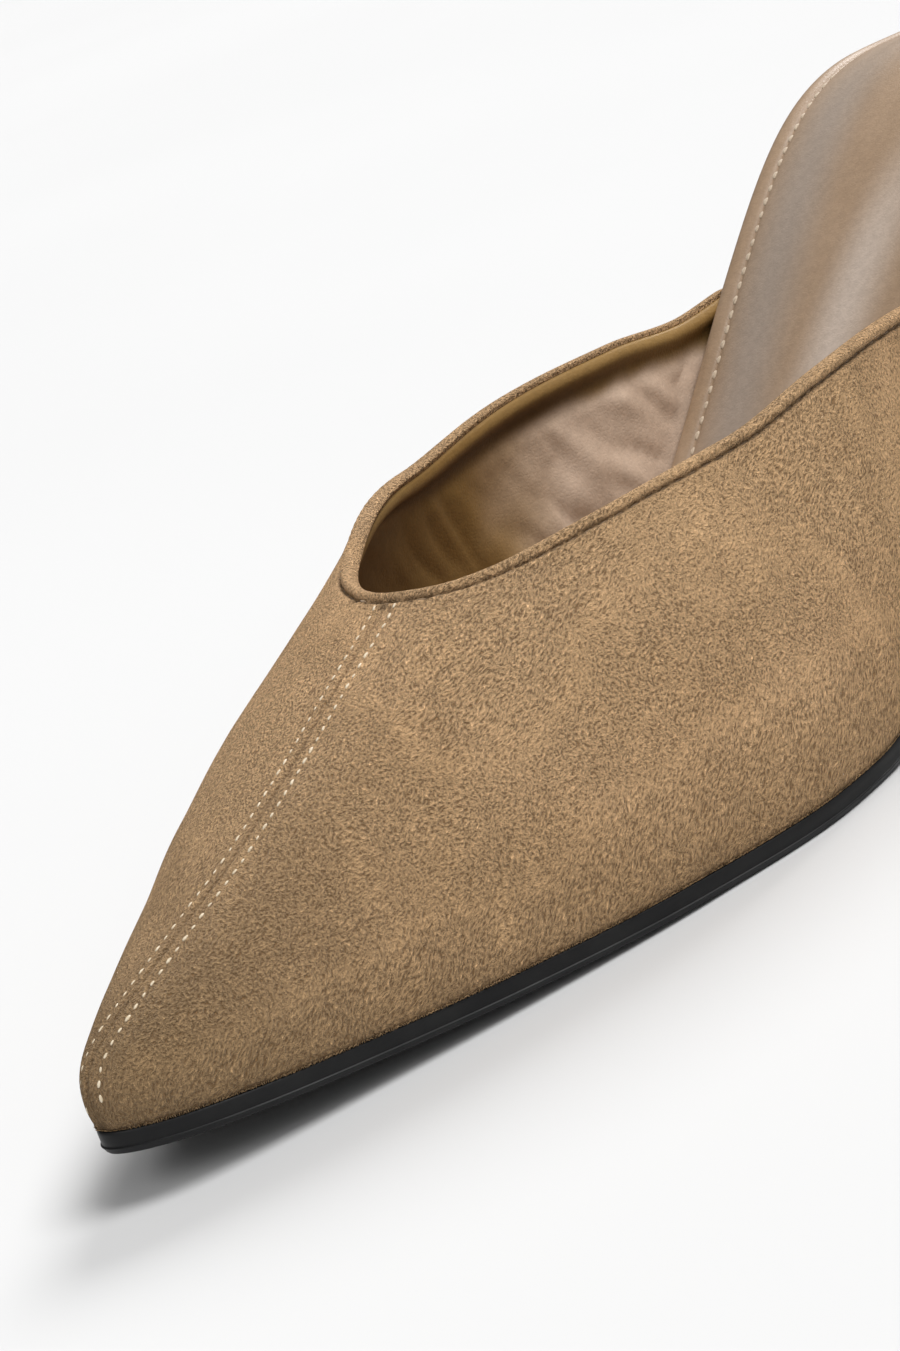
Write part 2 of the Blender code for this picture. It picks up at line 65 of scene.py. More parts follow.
# %% Sizes of the last and of the pieces
LAST_LENGTH = 262 * MM  # back of the seat to the toe point
BALL_WIDTH = 75.4 * MM
HEEL_HEIGHT = 64 * MM
TOE_SPRING = 7 * MM
THROAT_HEIGHT = 44.4 * MM  # ridge of the vamp above the feather line, at the throat
INNER_FULLNESS = 2.6 * MM  # how far the vamp's side swells out
OUTER_FULLNESS = 3.5 * MM
TOE_ROUNDNESS = 0.82  # power that shapes a section, fuller where it is lower
THROAT_ROUNDNESS = 1.03
VAMP_LENGTH = 69 * MM  # toe point to throat
INNER_WING_LENGTH = 185 * MM
OUTER_WING_LENGTH = 190 * MM
UPPER_WALL = 1.8 * MM
FEATHER_TUCK = 0.4 * MM  # how far the upper draws in at its foot
TUCK_HEIGHT = 3.2 * MM
SOLE_EDGE = 3.0 * MM
WAIST_EDGE = 2.4 * MM  # the same, behind the tread
WAIST_INSET = 2.8 * MM  # the sole is narrower by this behind the wings
WAIST_RUN = 16 * MM  # length over which it gets narrower
THINNING_RUN = 52 * MM  # and over which its edge gets thinner
INSOLE_EDGE = 3.6 * MM
RIM_WIDTH = 4.0 * MM
HEEL_SET = 17 * MM  # back of the seat to the middle of the heel tip
HEEL_BREAST = 52 * MM  # back of the seat to the heel's front
BREAST_SQUARENESS = 0.3
TIP_LENGTH = 17 * MM
TIP_WIDTH = 16 * MM
TIP_THICKNESS = 5.5 * MM
TIP_SQUARENESS = 2.6
FIT_GAP = 0.3 * MM
TREAD_START = 0.37  # the sole lies flat from here to there, as shares of the last's length
TREAD_END = 0.42
SEAT_LEVEL = 0.905  # and is level again from here back
SEAM_RAKE = 0.86  # the feather point under the throat, over the vamp's length from the toe

# Share of the last's length from the toe, inner and outer half width as shares of the ball width
OUTLINE = (
    (0.000, 0.000, 0.000), (0.008, 0.059, 0.048), (0.023, 0.104, 0.087), (0.053, 0.158, 0.152),
    (0.107, 0.230, 0.256), (0.191, 0.338, 0.395), (0.290, 0.448, 0.469), (0.389, 0.517, 0.487),
    (0.496, 0.482, 0.442), (0.611, 0.398, 0.369), (0.725, 0.360, 0.382), (0.840, 0.383, 0.404),
    (0.905, 0.374, 0.392), (0.948, 0.332, 0.346), (0.976, 0.254, 0.262), (0.992, 0.154, 0.158),
    (1.000, 0.000, 0.000),
)
# Share of the vamp's length, height over the throat's, shift over the ball width
RIDGE = (
    (0.00, 0.068, 0.000), (0.015, 0.162, 0.002), (0.045, 0.214, 0.006), (0.116, 0.290, 0.018),
    (0.29, 0.437, 0.045), (0.58, 0.683, 0.082), (0.87, 0.912, 0.080), (1.00, 1.000, 0.073),
    (1.23, 1.162, 0.058), (1.60, 1.513, 0.039), (1.88, 1.820, 0.039), (2.32, 2.250, 0.039),
    (2.75, 2.540, 0.039),
)
# Share of the way from the throat to the wing's end, then how far down the section on each side
TOPLINE = (
    (0.00, 0.000, 0.000), (0.02, 0.148, 0.112), (0.06, 0.232, 0.195), (0.15, 0.334, 0.302),
    (0.30, 0.468, 0.457), (0.50, 0.611, 0.625), (0.75, 0.808, 0.829), (0.90, 0.927, 0.941),
    (1.00, 0.990, 0.996),
)
# Share of the way down the heel, then back, front and half width between seat (0) and tip (1)
HEEL_RINGS = (
    (0.00, 0.00, 0.00, 0.00), (0.07, 0.05, 0.12, 0.10), (0.18, 0.16, 0.36, 0.31),
    (0.32, 0.33, 0.62, 0.57), (0.48, 0.52, 0.82, 0.80), (0.66, 0.72, 0.95, 0.95),
    (0.84, 0.90, 1.01, 1.02), (1.00, 1.00, 1.00, 1.00),
)
print("last", round(LAST_LENGTH / MM), "mm long and", round(BALL_WIDTH / MM, 1), "mm wide")


# %% Smooth curves through a table
def smooth_curve(places, values):
    """A smooth function through the points that never overshoots them."""
    places, values = np.array(places, float), np.array(values, float)
    width = np.diff(places)
    rise = np.diff(values) / width
    slope = np.concatenate([[rise[0]], np.zeros(len(width) - 1), [rise[-1]]])
    before, after = rise[:-1], rise[1:]
    same_way = before * after > 0
    weight_a, weight_b = 2 * width[1:] + width[:-1], width[1:] + 2 * width[:-1]
    mean = (weight_a + weight_b) / (
        weight_a / np.where(same_way, before, 1) + weight_b / np.where(same_way, after, 1)
    )
    slope[1:-1] = np.where(same_way, mean, 0)

    def value(at):
        at = np.clip(np.asarray(at, float), places[0], places[-1])
        cell = np.clip(np.searchsorted(places, at, side="right") - 1, 0, len(width) - 1)
        t = (at - places[cell]) / width[cell]
        return (
            values[cell] * (1 + 2 * t) * (1 - t) ** 2
            + slope[cell] * width[cell] * t * (1 - t) ** 2
            + values[cell + 1] * t**2 * (3 - 2 * t)
            + slope[cell + 1] * width[cell] * t**2 * (t - 1)
        )

    return value


def round_place(share):
    return np.arccos(1 - 2 * np.clip(share, 0, 1)) / math.pi


def column(table, k, scale=1.0):
    return [row[k] * scale for row in table]


def step_between(low, high, value):
    """0 below low, 1 above high, and smooth between them."""
    t = np.clip((np.asarray(value, float) - low) / (high - low), 0, 1)
    return t * t * (3 - 2 * t)


OUTLINE_PLACES = [round_place(row[0]) for row in OUTLINE]
inner_half = smooth_curve(OUTLINE_PLACES, column(OUTLINE, 1, BALL_WIDTH))
outer_half = smooth_curve(OUTLINE_PLACES, column(OUTLINE, 2, BALL_WIDTH))
RIDGE_PLACES = np.sqrt(column(RIDGE, 0))
ridge_rise = smooth_curve(RIDGE_PLACES, column(RIDGE, 1, THROAT_HEIGHT))
ridge_shift = smooth_curve(RIDGE_PLACES, column(RIDGE, 2, BALL_WIDTH))
TOPLINE_PLACES = np.sqrt(column(TOPLINE, 0))
inner_topline = smooth_curve(TOPLINE_PLACES, column(TOPLINE, 1))
outer_topline = smooth_curve(TOPLINE_PLACES, column(TOPLINE, 2))


# %% The lasted surface
def x_at(from_toe):
    return LAST_LENGTH - HEEL_SET - np.asarray(from_toe)


def from_toe_at(x):
    return LAST_LENGTH - HEEL_SET - np.asarray(x)


def half_width(from_toe, side):
    place = round_place(np.asarray(from_toe) / LAST_LENGTH)
    return np.where(np.asarray(side) > 0, inner_half(place), outer_half(place))


def feather(from_toe):
    """Height of the feather line, where the upper and the insole meet the top of the sole."""
    share = np.asarray(from_toe) / LAST_LENGTH
    spring = np.clip((TREAD_START - share) / TREAD_START, 0, 1) ** 2 * TOE_SPRING
    climb = np.clip((share - TREAD_END) / (SEAT_LEVEL - TREAD_END), 0, 1)
    return spring + HEEL_HEIGHT * climb**2 * (3 - 2 * climb) + SOLE_EDGE


def last_point(from_toe, down):
    """A point of the last: down is 0 on the ridge, +1 and -1 on the inner and outer feather."""
    from_toe, down = np.broadcast_arrays(np.asarray(from_toe, float), np.asarray(down, float))
    side = np.where(down >= 0, 1.0, -1.0)
    angle = np.abs(down) * math.pi / 2
    roundness = np.interp(from_toe, [0, VAMP_LENGTH], [TOE_ROUNDNESS, THROAT_ROUNDNESS])
    swell = np.where(side > 0, INNER_FULLNESS, OUTER_FULLNESS)
    fullness = swell * np.clip(from_toe / VAMP_LENGTH, 0, 1)
    place = np.sqrt(from_toe / VAMP_LENGTH)
    centre = ridge_shift(place)
    reach = side * half_width(from_toe, side) - centre
    y = centre + reach * np.sin(angle) ** roundness + side * fullness * np.sin(2 * angle)
    climb = np.clip(np.cos(angle), 0, 1) ** roundness
    return np.stack([x_at(from_toe), y, feather(from_toe) + ridge_rise(place) * climb], -1)


print("throat ridge at", np.round(last_point(VAMP_LENGTH, 0.0) / MM, 1), "mm")

# %% [markdown]
# ## Helpers for meshes
#
# A shoe's pieces are walls and plates: a face, a second face a little below it, and an edge that
# joins them. One helper closes any open sheet of quads that way and rounds the edge over. Others
# turn points and faces into an object with outward normals and measure how far a point is from a
# seam. A small repeatable noise gives wrinkles and puckers that are the same on every run.


# %% Turn points and faces into an object
MERGE_WITHIN = 2e-7  # points closer than this become one


def add_piece(name, points, faces, finish, sharp=None, painted_shading_and_tone=None):
    """Makes a closed piece. The dict of attributes for its finish, with a value for each point,
    holds masks of painted light and shade.
    """
    mesh = bpy.data.meshes.new(name)
    mesh.from_pydata(np.asarray(points, float).tolist(), [], [list(map(int, f)) for f in faces])
    for attribute, values in (painted_shading_and_tone or {}).items():
        made = mesh.attributes.new(attribute, "FLOAT", "POINT")
        made.data.foreach_set("value", np.asarray(values, np.float32))
    work = bmesh.new()
    work.from_mesh(mesh)
    bmesh.ops.remove_doubles(work, verts=work.verts, dist=MERGE_WITHIN)
    bmesh.ops.recalc_face_normals(work, faces=work.faces)
    if work.calc_volume(signed=True) < 0:
        bmesh.ops.reverse_faces(work, faces=work.faces)
    open_edges = sum(not e.is_manifold for e in work.edges)
    work.to_mesh(mesh)
    triangles = sum(len(f.verts) - 2 for f in work.faces)
    work.free()
    mesh.shade_smooth()
    if sharp:
        mesh.set_sharp_from_angle(angle=math.radians(sharp))
    mesh.materials.append(finish)
    piece = bpy.data.objects.new(name, mesh)
    bpy.context.scene.collection.objects.link(piece)
    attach(piece, "root")
    print(f"{name}: {triangles} triangles, {open_edges} open edges")
    return piece


def point_normals(points, faces):
    faces = np.asarray(faces)
    a, b, c, d = (points[faces[:, k]] for k in range(4))
    across = np.cross(c - a, d - b)
    normals = np.zeros_like(points)
    for k in range(4):
        np.add.at(normals, faces[:, k], across)
    return normals / np.maximum(np.linalg.norm(normals, axis=1), 1e-15)[:, None]


def closed_wall(outer, inner, faces, steps=1, bulge=None):
    """A sheet of quads and its inner face, joined all round by an edge of so many rounded steps.
    bulge says at each point how far the edge swells outwards there. Returns the points, the faces
    and the point of the sheet that each point came from."""
    count = len(outer)
    normals = point_normals(outer, faces)
    directed = {(int(q[k]), int(q[(k + 1) % 4])) for q in faces for k in range(4)}
    rim = [(a, b) for a, b in directed if (b, a) not in directed and a != b]
    outwards = np.zeros_like(outer)
    for a, b in rim:
        push = np.cross(outer[b] - outer[a], normals[a] + normals[b])
        push /= max(np.linalg.norm(push), 1e-15)
        outwards[a] += push
        outwards[b] += push
    points, chain, source = [outer, inner], {}, [*range(count), *range(count)]
    extra = 2 * count
    for v in sorted({v for edge in rim for v in edge}):
        push = outwards[v] / max(np.linalg.norm(outwards[v]), 1e-15)
        swell = 0.0 if bulge is None else bulge[v]
        turn = np.linspace(0, math.pi, steps + 1)[1:-1]
        share = (1 - np.cos(turn))[:, None] / 2
        points.append(outer[v] + (inner[v] - outer[v]) * share
                      + push * swell * np.sin(turn)[:, None])
        chain[v] = [v, *range(extra, extra + steps - 1), v + count]
        source += [v] * (steps - 1)
        extra += steps - 1
    closed = [list(q) for q in faces] + [[int(v) + count for v in q[::-1]] for q in faces]
    for a, b in sorted(rim):
        for k in range(steps):
            closed.append([chain[b][k], chain[a][k], chain[a][k + 1], chain[b][k + 1]])
    return np.concatenate(points), closed, np.array(source)


# %% Distances to a line, and a repeatable noise
BATCH = 1500  # points measured at a time, which keeps the arrays small
NOISE_CELLS = 64


def distance_to_path(points, path):
    """Distance from each point to a line of points, and how far along the line that is."""
    start, step = path[:-1], np.diff(path, axis=0)
    size = np.linalg.norm(step, axis=1)
    before = np.concatenate([[0], np.cumsum(size)[:-1]])
    distance, along = np.empty(len(points)), np.empty(len(points))
    for low in range(0, len(points), BATCH):
        part = points[low:low + BATCH]
        t = ((part[:, None] - start) * step).sum(2) / np.maximum(size**2, 1e-18)
        t = np.clip(t, 0, 1)
        gap = np.linalg.norm(part[:, None] - (start + t[..., None] * step), axis=2)
        best = gap.argmin(1)
        rows = np.arange(len(part))
        distance[low:low + BATCH] = gap[rows, best]
        along[low:low + BATCH] = before[best] + t[rows, best] * size[best]
    return distance, along


def soft_noise(u, v, seed):
    """Smooth noise of two coordinates, from -1 to 1, with one lump to about each unit."""
    table = np.random.default_rng(seed).uniform(-1, 1, (NOISE_CELLS, NOISE_CELLS))
    i, j = np.floor(u).astype(int), np.floor(v).astype(int)
    a, b = u - i, v - j
    a, b = a * a * (3 - 2 * a), b * b * (3 - 2 * b)
    corner = lambda p, q: table[(i + p) % NOISE_CELLS, (j + q) % NOISE_CELLS]
    near = corner(0, 0) * (1 - a) + corner(1, 0) * a
    far = corner(0, 1) * (1 - a) + corner(1, 1) * a
    return near * (1 - b) + far * b


# %% [markdown]
# ## Node helpers for the finishes
#
# Every finish is a Principled shader fed by procedural textures in Object coordinates. The
# helpers below only save typing: they add a node, set its sockets and link it. Numbers that are
# the same all over a surface, such as the sheen, are set straight on the shader's own sockets.
# Where painted shade or painted light follows a seam, a fold or a streak, the piece carries an
# attribute and the finish reads it.


# %% Build a finish from nodes
def add_node(tree, kind, inputs=None, **settings):
    """Adds a node with its settings, and sets each input or links it to the socket given."""
    made = tree.nodes.new(kind)
    for key, value in settings.items():
        setattr(made, key, value)
    for key, value in (inputs or {}).items():
        if isinstance(value, bpy.types.NodeSocket):
            tree.links.new(value, made.inputs[key])
        else:
            made.inputs[key].default_value = value
    return made


class Finish:
    """A material with a Principled shader and short ways to add texture nodes to it."""

    def __init__(self, name):
        self.material = bpy.data.materials.new(name)
        self.material.use_nodes = True
        self.tree = self.material.node_tree
        self.shader = self.tree.nodes["Principled BSDF"]
        self.place = self.tree.nodes.new("ShaderNodeTexCoord").outputs["Object"]

    def constant(self, **sockets):
        for name, value in sockets.items():
            self.shader.inputs[name.replace("_", " ")].default_value = value
        return self

    def node(self, kind, inputs=None, **settings):
        return add_node(self.tree, kind, inputs, **settings)

    def attribute(self, name):
        return self.node("ShaderNodeAttribute", attribute_name=name).outputs["Fac"]

    def stretched(self, scale, turn=(0, 0, 0)):
        inputs = {"Vector": self.place, "Scale": scale, "Rotation": turn}
        return self.node("ShaderNodeMapping", inputs).outputs["Vector"]

    def noise(self, scale, detail=2.0, rough=0.5, distort=0.0, of=None, output="Fac"):
        """Noise with about this many lumps to a metre."""
        inputs = {"Vector": of or self.place, "Scale": scale, "Detail": detail,
                  "Roughness": rough, "Distortion": distort}
        return self.node("ShaderNodeTexNoise", inputs).outputs[output]

    def fitted(self, value, low, high, to_low=0.0, to_high=1.0, kind="SMOOTHSTEP"):
        """Maps the range from low to high onto another, and holds it at the ends."""
        inputs = {"Value": value, "From Min": low, "From Max": high,
                  "To Min": to_low, "To Max": to_high}
        return self.node("ShaderNodeMapRange", inputs, interpolation_type=kind).outputs[0]

    def maths(self, operation, a, b=0.0):
        return self.node("ShaderNodeMath", {0: a, 1: b}, operation=operation).outputs[0]

    def vector_maths(self, operation, a, b):
        second = "Scale" if operation == "SCALE" else 1
        made = self.node("ShaderNodeVectorMath", {0: a, second: b}, operation=operation)
        return made.outputs[0]

    def between(self, share, a, b):
        """A number between two, where blend gives a colour between two."""
        made = self.node("ShaderNodeMix", {0: share, 2: a, 3: b}, data_type="FLOAT")
        return made.outputs[0]

    def blend(self, share, a, b):
        a, b = (c if isinstance(c, bpy.types.NodeSocket) else (*c, 1) for c in (a, b))
        return self.node("ShaderNodeMix", {0: share, 6: a, 7: b}, data_type="RGBA").outputs[2]

    def bump(self, height, strength, distance, under=None):
        inputs = {"Height": height, "Strength": strength, "Distance": distance}
        if under:
            inputs["Normal"] = under
        return self.node("ShaderNodeBump", inputs).outputs["Normal"]

    def surface(self, colour, roughness, normal=None):
        for name, value in (("Base Color", colour), ("Roughness", roughness), ("Normal", normal)):
            if isinstance(value, bpy.types.NodeSocket):
                self.tree.links.new(value, self.shader.inputs[name])
            elif value is not None:
                self.shader.inputs[name].default_value = value
        return self.material


# %% [markdown]
# ## Suede
#
# Brushed suede is a carpet of very short fibres. Close up it shows worm-like tufts less than a
# millimetre long, which shade each other. From further off it shows broad patches, lighter where
# the nap lies away from the light and darker where it was stroked the other way. Real hairs would
# cost millions of faces, so the tufts are noise in coordinates that a slower noise has bent and
# that are drawn out along the brushing, which turns round lumps into short strokes. The height of
# the tufts feeds the bump and also paints shade into the gaps between them, because a bump alone
# casts no shade. Slow noises give the patches. The toe, the lower edge, the grooves and the seam
# get painted shade, and a little sheen gives the pale edge of a fibrous cloth.

# %% Colours and scales of the suede
CAMEL = (0.650, 0.410, 0.218)
CAMEL_PATCH = (0.605, 0.376, 0.194)
CAMEL_STROKED = (0.560, 0.362, 0.188)
# Browns for painted shade: at the toe, along the foot, in creases and between the tufts
TOE_SHADE_BROWN = (0.312, 0.202, 0.104)
FOOT_SHADE_BROWN = (0.350, 0.224, 0.112)
CREASE_SHADE_BROWN = (0.085, 0.052, 0.024)
PIT_SHADE_BROWN = (0.330, 0.186, 0.080)
TOE_SHADE_RUN = (185 * MM, 250 * MM)  # painted shade, from here to here along the shoe
FOOT_SHADE_RUN = (24 * MM, 2 * MM)  # painted shade, from here down to here above the floor
LOW_NAP = (21 * MM, 12 * MM)  # below this the fibres lie along the sole
BRUSHED_WAY = Vector((0.8, -0.1, -0.55)).to_track_quat("X", "Z").to_euler()
LOW_WAY = Vector((-0.65, 0.0, 0.75)).to_track_quat("X", "Z").to_euler()
# The way the tufts lie, how far they are drawn out, and how fine they are
NAPS = ((BRUSHED_WAY, 1.1, 2700), (BRUSHED_WAY, 1.9, 3000), (LOW_WAY, 2.4, 3000))


# %% Suede finish
def nap_height(made, drift, up):
    """Height of the tufts, 0 to 1, from short strokes to long ones and a third kind low down."""
    bend = made.noise(105, 2, 0.5, output="Color")
    bend = made.vector_maths("SUBTRACT", bend, (0.5, 0.5, 0.5))
    bent = made.vector_maths("ADD", made.place, made.vector_maths("SCALE", bend, 3.4 * MM))
    short, long, low = (
        made.noise(scale, 2.5, 0.6, 0.15, made.node(
            "ShaderNodeMapping", {"Vector": bent, "Rotation": way, "Scale": (drawn_out, 1, 1)},
            vector_type="TEXTURE").outputs[0])
        for way, drawn_out, scale in NAPS)
    brushing = made.fitted(made.noise(28, 2, 0.5), 0.42, 0.58)
    ragged = made.maths("ADD", up, made.fitted(drift, 0.0, 1.0, -4 * MM, 4 * MM))
    nap = made.between(made.fitted(ragged, *LOW_NAP), made.between(brushing, short, long), low)
    return made.fitted(nap, 0.30, 0.70, kind="LINEAR")


def suede_finish(name):
    made = Finish(name).constant(Sheen_Weight=0.16, Sheen_Roughness=0.4,
                                 Sheen_Tint=(1.0, 0.78, 0.58, 1), Specular_IOR_Level=0.06)
    along, _, up = made.node("ShaderNodeSeparateXYZ", {0: made.place}).outputs
    drift = made.fitted(made.noise(15, 2, 0.5, 0.2), 0.36, 0.64)
    patches = made.fitted(made.noise(42, 3, 0.6, 0.3), 0.34, 0.66)
    nap = nap_height(made, drift, up)
    painted_shading_and_tone = made.blend(patches, CAMEL_PATCH, CAMEL)
    painted_shading_and_tone = made.blend(made.maths("MULTIPLY", drift, 0.35), painted_shading_and_tone, CAMEL_STROKED)
    # painted shade towards the toe
    painted_shading_and_tone = made.blend(made.fitted(along, *TOE_SHADE_RUN), painted_shading_and_tone, TOE_SHADE_BROWN)
    # painted shade near the floor, along the lower edge
    painted_shading_and_tone = made.blend(made.fitted(up, *FOOT_SHADE_RUN, 0.0, 0.45), painted_shading_and_tone, FOOT_SHADE_BROWN)
    # painted shade in the grooves, the seam and along the foot
    painted_shading_and_tone = made.blend(made.attribute("painted_shade"), painted_shading_and_tone, CREASE_SHADE_BROWN)
    # painted shade in the gaps between the tufts; below, the colour is scaled by the tufts'
    # height as painted light and shade
    painted_shading_and_tone = made.blend(made.fitted(nap, 0.42, 0.08, 0.0, 0.75), painted_shading_and_tone, PIT_SHADE_BROWN)
    shade = made.fitted(nap, 0.2, 0.85, 0.74, 1.49, kind="LINEAR")
    return made.surface(made.vector_maths("SCALE", painted_shading_and_tone, shade), 0.95,
                        made.bump(nap, 1.0, 1.2 * MM))


suede = suede_finish("camel suede")
print("suede has", len(suede.node_tree.nodes), "nodes")

# %% [markdown]
# ## Lining, insole cover, rubber and thread
#
# The lining and the insole cover are thin coated materials with a dull shine, a fine pebbled
# grain and broad uneven gloss. Both carry painted light and shade, which no even pattern would
# give, so their pieces carry attributes that say where: the lining is painted lighter towards
# the back and has painted shade in the fold under the topline and towards the toe, and the
# insole has a painted grey reflection and a painted highlight in streaks. The sole is matt
# moulded rubber with rub marks along its edge. The threads differ in colour alone, and their
# ply shows as a fine slanting bump.


# %% Leather-like finishes
def leather_finish(name, light, dark, gloss, grain_depth, run=1.0, painted_shading_and_tone=None):
    """A thin coated leather. run stretches its clouds and gloss along the shoe. The piece's own
    attributes, where given, mix in a colour each: painted light, painted shade or a painted
    reflection."""
    made = Finish(name).constant(Specular_IOR_Level=0.32)
    along = made.stretched((1 / run, 1, 1))
    cloud = made.fitted(made.noise(45, 3, 0.55, 0.3, along), 0.33, 0.67)
    fine = made.noise(900, 2, 0.5)
    colour = made.blend(cloud, dark, light)
    for attribute, tint in (painted_shading_and_tone or {}).items():
        colour = made.blend(made.attribute(attribute), colour, tint)
    colour = made.vector_maths("SCALE", colour, made.fitted(fine, 0.3, 0.7, 0.94, 1.05))
    cells = made.node("ShaderNodeTexVoronoi", {"Vector": made.place, "Scale": 1500.0},
                      feature="DISTANCE_TO_EDGE").outputs["Distance"]
    pebbles = made.fitted(cells, 0.0, 0.35)
    ripple = made.noise(160, 2, 0.5, 0.0, along)
    relief = made.bump(ripple, 0.35, 0.6 * MM)
    relief = made.bump(pebbles, 0.35, grain_depth, relief)
    roughness = made.fitted(made.noise(60, 2, 0.6, 0.0, along), 0.35, 0.65,
                            gloss - 0.07, gloss + 0.12)
    return made.surface(colour, roughness, relief)


# The lining's attribute tints are painted light towards the back and painted shade in the fold;
# the insole's are a painted grey reflection and a painted highlight.
lining_leather = leather_finish(
    "brown lining", (0.305, 0.182, 0.058), (0.248, 0.138, 0.038), gloss=0.58,
    grain_depth=0.06 * MM,
    painted_shading_and_tone={"painted_lit_patch": (0.575, 0.425, 0.315), "painted_shade": (0.085, 0.040, 0.008)})
sock_leather = leather_finish(
    "taupe insole cover", (0.328, 0.228, 0.150), (0.280, 0.188, 0.116), gloss=0.42,
    grain_depth=0.04 * MM, run=7.0,
    painted_shading_and_tone={"painted_grey_reflection": (0.290, 0.230, 0.183), "painted_highlight": (0.455, 0.370, 0.305)})


# %% Rubber and thread
def rubber_finish(name):
    made = Finish(name).constant(Specular_IOR_Level=0.22)
    cloud = made.fitted(made.noise(120, 4, 0.6), 0.35, 0.7)
    colour = made.blend(cloud, (0.0065, 0.0065, 0.007), (0.011, 0.011, 0.011))
    rub = made.noise(300, 3, 0.6, 0.0, made.stretched((0.25, 0.25, 2.5)))
    roughness = made.fitted(rub, 0.3, 0.7, 0.40, 0.58)
    relief = made.bump(made.noise(2200, 2, 0.5), 0.25, 0.04 * MM)
    return made.surface(colour, roughness, relief)


def thread_finish(name, light, dark):
    made = Finish(name).constant(Sheen_Weight=0.2, Sheen_Roughness=0.5)
    ply = made.noise(2600, 2, 0.5, 0.0, made.stretched((1, 1, 0.4), (0.6, 0.6, 0)))
    colour = made.blend(made.fitted(ply, 0.3, 0.7), dark, light)
    return made.surface(colour, 0.7, made.bump(ply, 0.5, 0.1 * MM))


sole_rubber = rubber_finish("matt black rubber")
tip_rubber = rubber_finish("black tip rubber")
cream_thread = thread_finish("cream thread", (0.74, 0.63, 0.46), (0.56, 0.45, 0.30))
sock_thread = thread_finish("pale taupe thread", (0.50, 0.40, 0.29), (0.38, 0.29, 0.20))
brown_thread = thread_finish("suede-coloured thread", (0.30, 0.20, 0.11), (0.20, 0.13, 0.07))
print("finishes:", [m.name for m in bpy.data.materials if m.use_nodes])

# %% [markdown]
# ## The upper's grid
#
# The upper is two panels, closed by one seam from the throat down to the toe. Each panel is a
# grid: its stations run up the seam and back along the topline, and its rows run from that edge
# down to the feather line. The rows are packed close under the edge, and the stations close
# before the throat, because the rolled topline, the stitched groove and the closing seam are only
# a millimetre or two wide and meet there.

# %% Stations and rows of a panel
SEAM_STATIONS = 96
THROAT_STATIONS = 22  # of those, close together just before the throat
THROAT_STEP = 0.22 * MM
TOPLINE_STATIONS = 190
ON_SEAM = SEAM_STATIONS + 1
TOP_ROWS = 25
TOP_STEP = 0.15 * MM
WALL_ROWS = 42
FOOT_ROWS = (1.0, 0.7, 0.45, 0.25, 0.1, 0.0)  # shares of the tuck's height
FINE_STEPS = 240  # along each row's line, before its points are spaced out


def spread(count, power):
    """Shares from 0 to 1. A power above 1 sets the first ones closer together."""
    return (np.arange(count + 1) / count) ** power


def edge_path(side):
    """Distances from the toe of the panel's edge, its place down the section, and the distances
    of the feather points below it."""
    wing = INNER_WING_LENGTH if side > 0 else OUTER_WING_LENGTH
    level = inner_topline if side > 0 else outer_topline
    close = VAMP_LENGTH - np.arange(THROAT_STATIONS)[::-1] * THROAT_STEP
    seam = np.concatenate(
        [spread(SEAM_STATIONS - THROAT_STATIONS, 1.3)[:-1] * close[0], [close[0]], close[1:]])
    below_throat = SEAM_RAKE * VAMP_LENGTH
    back = spread(TOPLINE_STATIONS, 1.9)[1:]
    topline = VAMP_LENGTH + back * (wing - VAMP_LENGTH)
    back_feather = below_throat + spread(TOPLINE_STATIONS, 1.15)[1:] * (wing - below_throat)
    return (
        np.concatenate([seam, topline]),
        np.concatenate([np.zeros(len(seam)), side * level(np.sqrt(back))]),
        np.concatenate([below_throat * seam / VAMP_LENGTH, back_feather]),
    )


def panel_rows(length):
    """Distances from a panel's edge to its rows, down to the feather line."""
    top = np.arange(TOP_ROWS) * TOP_STEP
    foot = np.array(FOOT_ROWS) * TUCK_HEIGHT
    scale = min(1.0, length / (top[-1] + foot[0] + 4 * MM))
    top, foot = top * scale, length - foot * scale
    middle = np.linspace(top[-1], foot[0], WALL_ROWS + 1)[1:-1]
    return np.concatenate([top, middle, foot])


def panel_grid(side):
    edge, edge_down, foot = edge_path(side)
    fine = np.linspace(0, 1, FINE_STEPS + 1)
    lines = last_point(edge[:, None] + (foot - edge)[:, None] * fine,
                       edge_down[:, None] + (side - edge_down)[:, None] * fine)
    grid = []
    for line in lines:
        steps = np.linalg.norm(np.diff(line, axis=0), axis=1)
        travelled = np.concatenate([[0], np.cumsum(steps)])
        at = panel_rows(travelled[-1])
        grid.append(np.stack([np.interp(at, travelled, line[:, k]) for k in range(3)], -1))
    return np.array(grid)


inner_grid, outer_grid = panel_grid(1), panel_grid(-1)
STATIONS, ROWS = inner_grid.shape[:2]
print("panel grid:", STATIONS, "stations of", ROWS, "rows")

# %% Weld both panels along the closing seam
index = np.arange(2 * STATIONS * ROWS).reshape(2, STATIONS, ROWS)
index[1, 0, :] = index[0, 0, :]
index[1, :ON_SEAM, 0] = index[0, :ON_SEAM, 0]
used, packed = np.unique(index, return_inverse=True)
index = packed.reshape(index.shape)
last_skin = np.concatenate([inner_grid.reshape(-1, 3), outer_grid.reshape(-1, 3)])[used]


def skin_quads(index):
    quads = []
    for panel, turn in ((0, -1), (1, 1)):
        at = index[panel]
        around = [at[:-1, :-1], at[1:, :-1], at[1:, 1:], at[:-1, 1:]]
        quads.append(np.stack(around[::turn], -1).reshape(-1, 4))
    return np.concatenate(quads)


